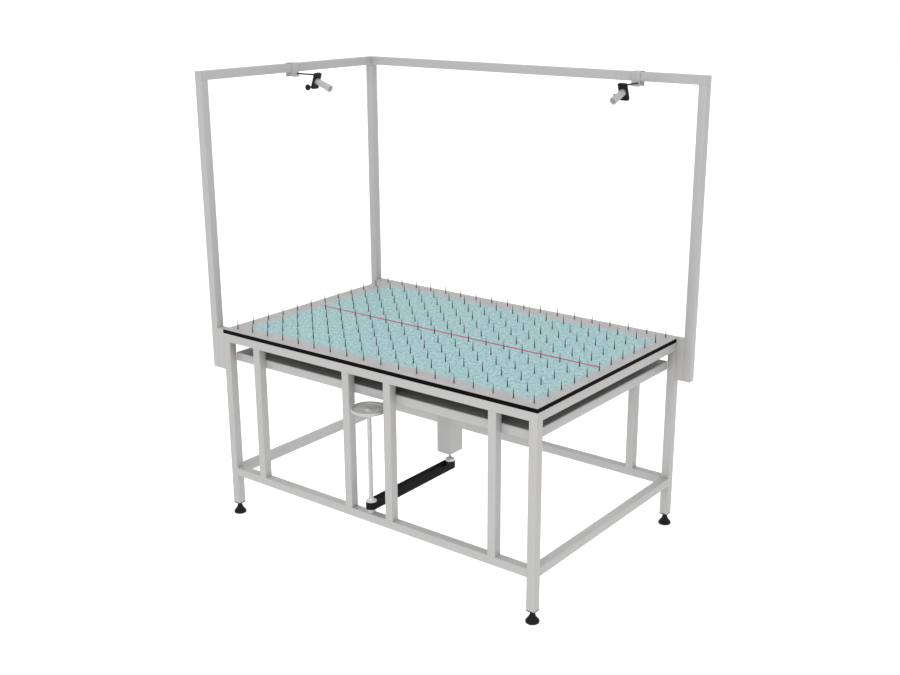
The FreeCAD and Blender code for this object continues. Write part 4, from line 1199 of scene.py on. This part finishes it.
def holder_block():
    """Clamp block in its own frame, slit from the bore down, with ears behind.

    The block is a band carried from one side of the slit round to the other. At each
    step it spans from the bore c (cos t, sin t) to the point of the rounded outline at
    the same share of the way, and its section's corners are softened.
    """
    soft = 0.0008
    steps = 64
    gap = HOLDER_SLIT / 2
    half = HOLDER_THICKNESS / 2
    start = math.asin(gap / HOLDER_BORE)
    angle = -math.pi / 2 + start + (TAU - 2 * start) * np.linspace(0, 1, steps + 1)
    inner = HOLDER_BORE * rays(angle)
    section = tube_section(HOLDER_WIDTH, HOLDER_LENGTH, HOLDER_CORNER, 6)
    path = np.roll(section, -(3 * len(section) // 4), axis=0)
    path = np.vstack([[gap, -HOLDER_LENGTH / 2], path, [-gap, -HOLDER_LENGTH / 2]])
    turn_of = np.unwrap(np.arctan2(path[:, 1], path[:, 0]))
    turn_of = turn_of - turn_of[0] - math.pi / 2 + math.asin(gap / (HOLDER_LENGTH / 2))
    outer = np.column_stack([np.interp(angle, turn_of, path[:, axis]) for axis in range(2)])
    outer[0] = path[0]
    outer[-1] = path[-1]
    span = outer - inner
    inset = soft / np.linalg.norm(span, axis=1, keepdims=True)
    rings = [
        np.insert(inner + span * way, 0, level, axis=1) for way, level in (
            (0, -half + soft), (inset, -half), (1 - inset, -half), (1, -half + soft),
            (1, half - soft), (1 - inset, half), (inset, half), (0, half - soft),
        )
    ]
    ends = np.arange(len(rings)) * (steps + 1)
    band = grid_faces(len(rings), steps + 1, closed_rows=True, closed_columns=False)
    parts = [(np.vstack(rings), [band, ends[None], (ends + steps)[None, ::-1]])]

    root = -half + 0.001
    turn = np.linspace(math.pi / 2, 3 * math.pi / 2, 17)
    ear = np.vstack([[[root, -PIVOT_EYE], [root, PIVOT_EYE]], PIVOT_EYE * rays(turn) - (PIVOT_BACK, 0)])
    for low in (-EAR_GAP - EAR_THICKNESS, EAR_GAP):
        plate = extruded(ear, low, low + EAR_THICKNESS, SOFT_EDGE)
        parts.append(placed(plate, (0, 0, PIVOT_RISE), z_axis=(0, -1, 0)))
    return merge(parts)


def barrel_body():
    """Laser's housing with three grooves and a stepped head, through its holder's bore."""
    depth = 0.0007
    head = BARREL_LENGTH - BARREL_HEAD
    face = BARREL_LENGTH - APERTURE_DEPTH
    rows = [(0, 0), (BARREL_RADIUS, 0), (BARREL_RADIUS, head - 0.0106)]
    for level in (head - 0.010, head - 0.007, head - 0.004):
        rows += [(BARREL_RADIUS - depth, level - 0.0003), (BARREL_RADIUS - depth, level + 0.0003),
                 (BARREL_RADIUS, level + 0.0006), (BARREL_RADIUS, level + 0.0020)]
    groove = BARREL_LENGTH - 0.006
    rows += [
        (BARREL_RADIUS, head), (HEAD_RADIUS, head), (HEAD_RADIUS, groove - 0.0004),
        (HEAD_RADIUS - 0.0006, groove), (HEAD_RADIUS, groove + 0.0004), (HEAD_RADIUS, BARREL_LENGTH),
        (APERTURE + 0.0025, BARREL_LENGTH), (APERTURE, BARREL_LENGTH - 0.0018),
        (APERTURE, BARREL_LENGTH - 0.0035), (APERTURE - 0.0001, face), (0, face),
    ]
    barrel = lathe(round_corners(rows, 0.0005), 72)
    return placed(barrel, (-HOLDER_THICKNESS / 2, 0, 0), (0, 0, -1), (1, 0, 0))


def lens_mask(barrel):
    """One at the points of the window, which lies sunk in the barrel's opening."""
    along = barrel[0][:, 0] + HOLDER_THICKNESS / 2
    from_axis = np.hypot(barrel[0][:, 1], barrel[0][:, 2])
    sunk = (along < BARREL_LENGTH - APERTURE_DEPTH + 1e-5) & (along > BARREL_LENGTH - BARREL_HEAD)
    return (sunk & (from_axis < APERTURE + 1e-4)).astype(np.float32)


def clamp_knob():
    """Lobed knob on its stem, with the screw that closes the holder's slit."""
    face = KNOB_SCREW_LENGTH + KNOB_STEM_LENGTH
    back = face + KNOB_THICKNESS
    root = KNOB_SCREW_LENGTH - 0.0005
    screw = lathe(np.vstack([
        [(0, 0), (KNOB_SCREW - SOFT_EDGE, 0)],
        thread_rows(SOFT_EDGE, KNOB_SCREW_LENGTH - 0.001, KNOB_SCREW, KNOB_SCREW - 0.0004, 0.001),
        [(0, KNOB_SCREW_LENGTH)],
    ]), 20)
    grip = lathe(round_corners([
        (0, root), (KNOB_STEM, root), (KNOB_STEM, face - 0.003), (KNOB_STEM + 0.003, face),
        (KNOB_RADIUS, face), (KNOB_RADIUS, back), (0.007, back), (0.006, back - 0.0006), (0, back - 0.0006),
    ], 0.0016, 4), 84, lobes=7, lobe_depth=0.0020, lobe_levels=(face + 0.0001, back))
    return placed(merge([screw, grip]), (0, HOLDER_WIDTH / 2 - 0.001, -KNOB_DROP), z_axis=(0, -1, 0))


def make_laser(name, origin, across):
    """Saddle, arm, clamp block, barrel and knob of one line laser on its bar."""
    tilt = math.radians(BARREL_TILT)
    lean_x = np.array([math.cos(tilt), 0, -math.sin(tilt)])
    lean_z = np.array([math.sin(tilt), 0, math.cos(tilt)])
    bore = np.array(ARM_PIVOT) + PIVOT_BACK * lean_x - PIVOT_RISE * lean_z
    barrel = barrel_body()
    for node, form, solid, tilted, body, slot, angle in (
        ("laser_saddle", "strap", saddle_strap(), False, "laser_carriage", "frame_paint", 35),
        ("laser_arm", "rod", arm_rod(), False, "laser_carriage", "black_metal", 45),
        ("laser_holder", "block", holder_block(), True, "laser_head", "black_metal", 35),
        ("laser_barrel", "body", barrel, True, "laser_barrel", "barrel_metal", 35),
        ("clamp_knob", "lobed", clamp_knob(), True, "clamp_knob", "black_plastic", 45),
    ):
        if tilted:
            solid = placed(solid, bore, lean_x, lean_z)
        solid = placed(solid, origin, across)
        piece = new_piece(f"{node}_{name}_{form}", f"{node}_{name}", solid, f"{body}_{name}", slot, angle)
        if node == "laser_barrel":
            lens = piece.data.attributes.new("lens", "FLOAT", "POINT")
            lens.data.foreach_set("value", lens_mask(barrel))


make_tubes()
make_board()
make_edge_band()
make_pins()
make_handwheel()
make_shaft()
make_belt()
make_feet()
make_caps()
make_foot_plates()
make_turned_pieces()
make_screw()
make_jack_box()
for laser in LASER_PLACES:
    make_laser(*laser)

make_camera()
make_studio()
bpy.context.scene.view_settings.view_transform = "Standard"
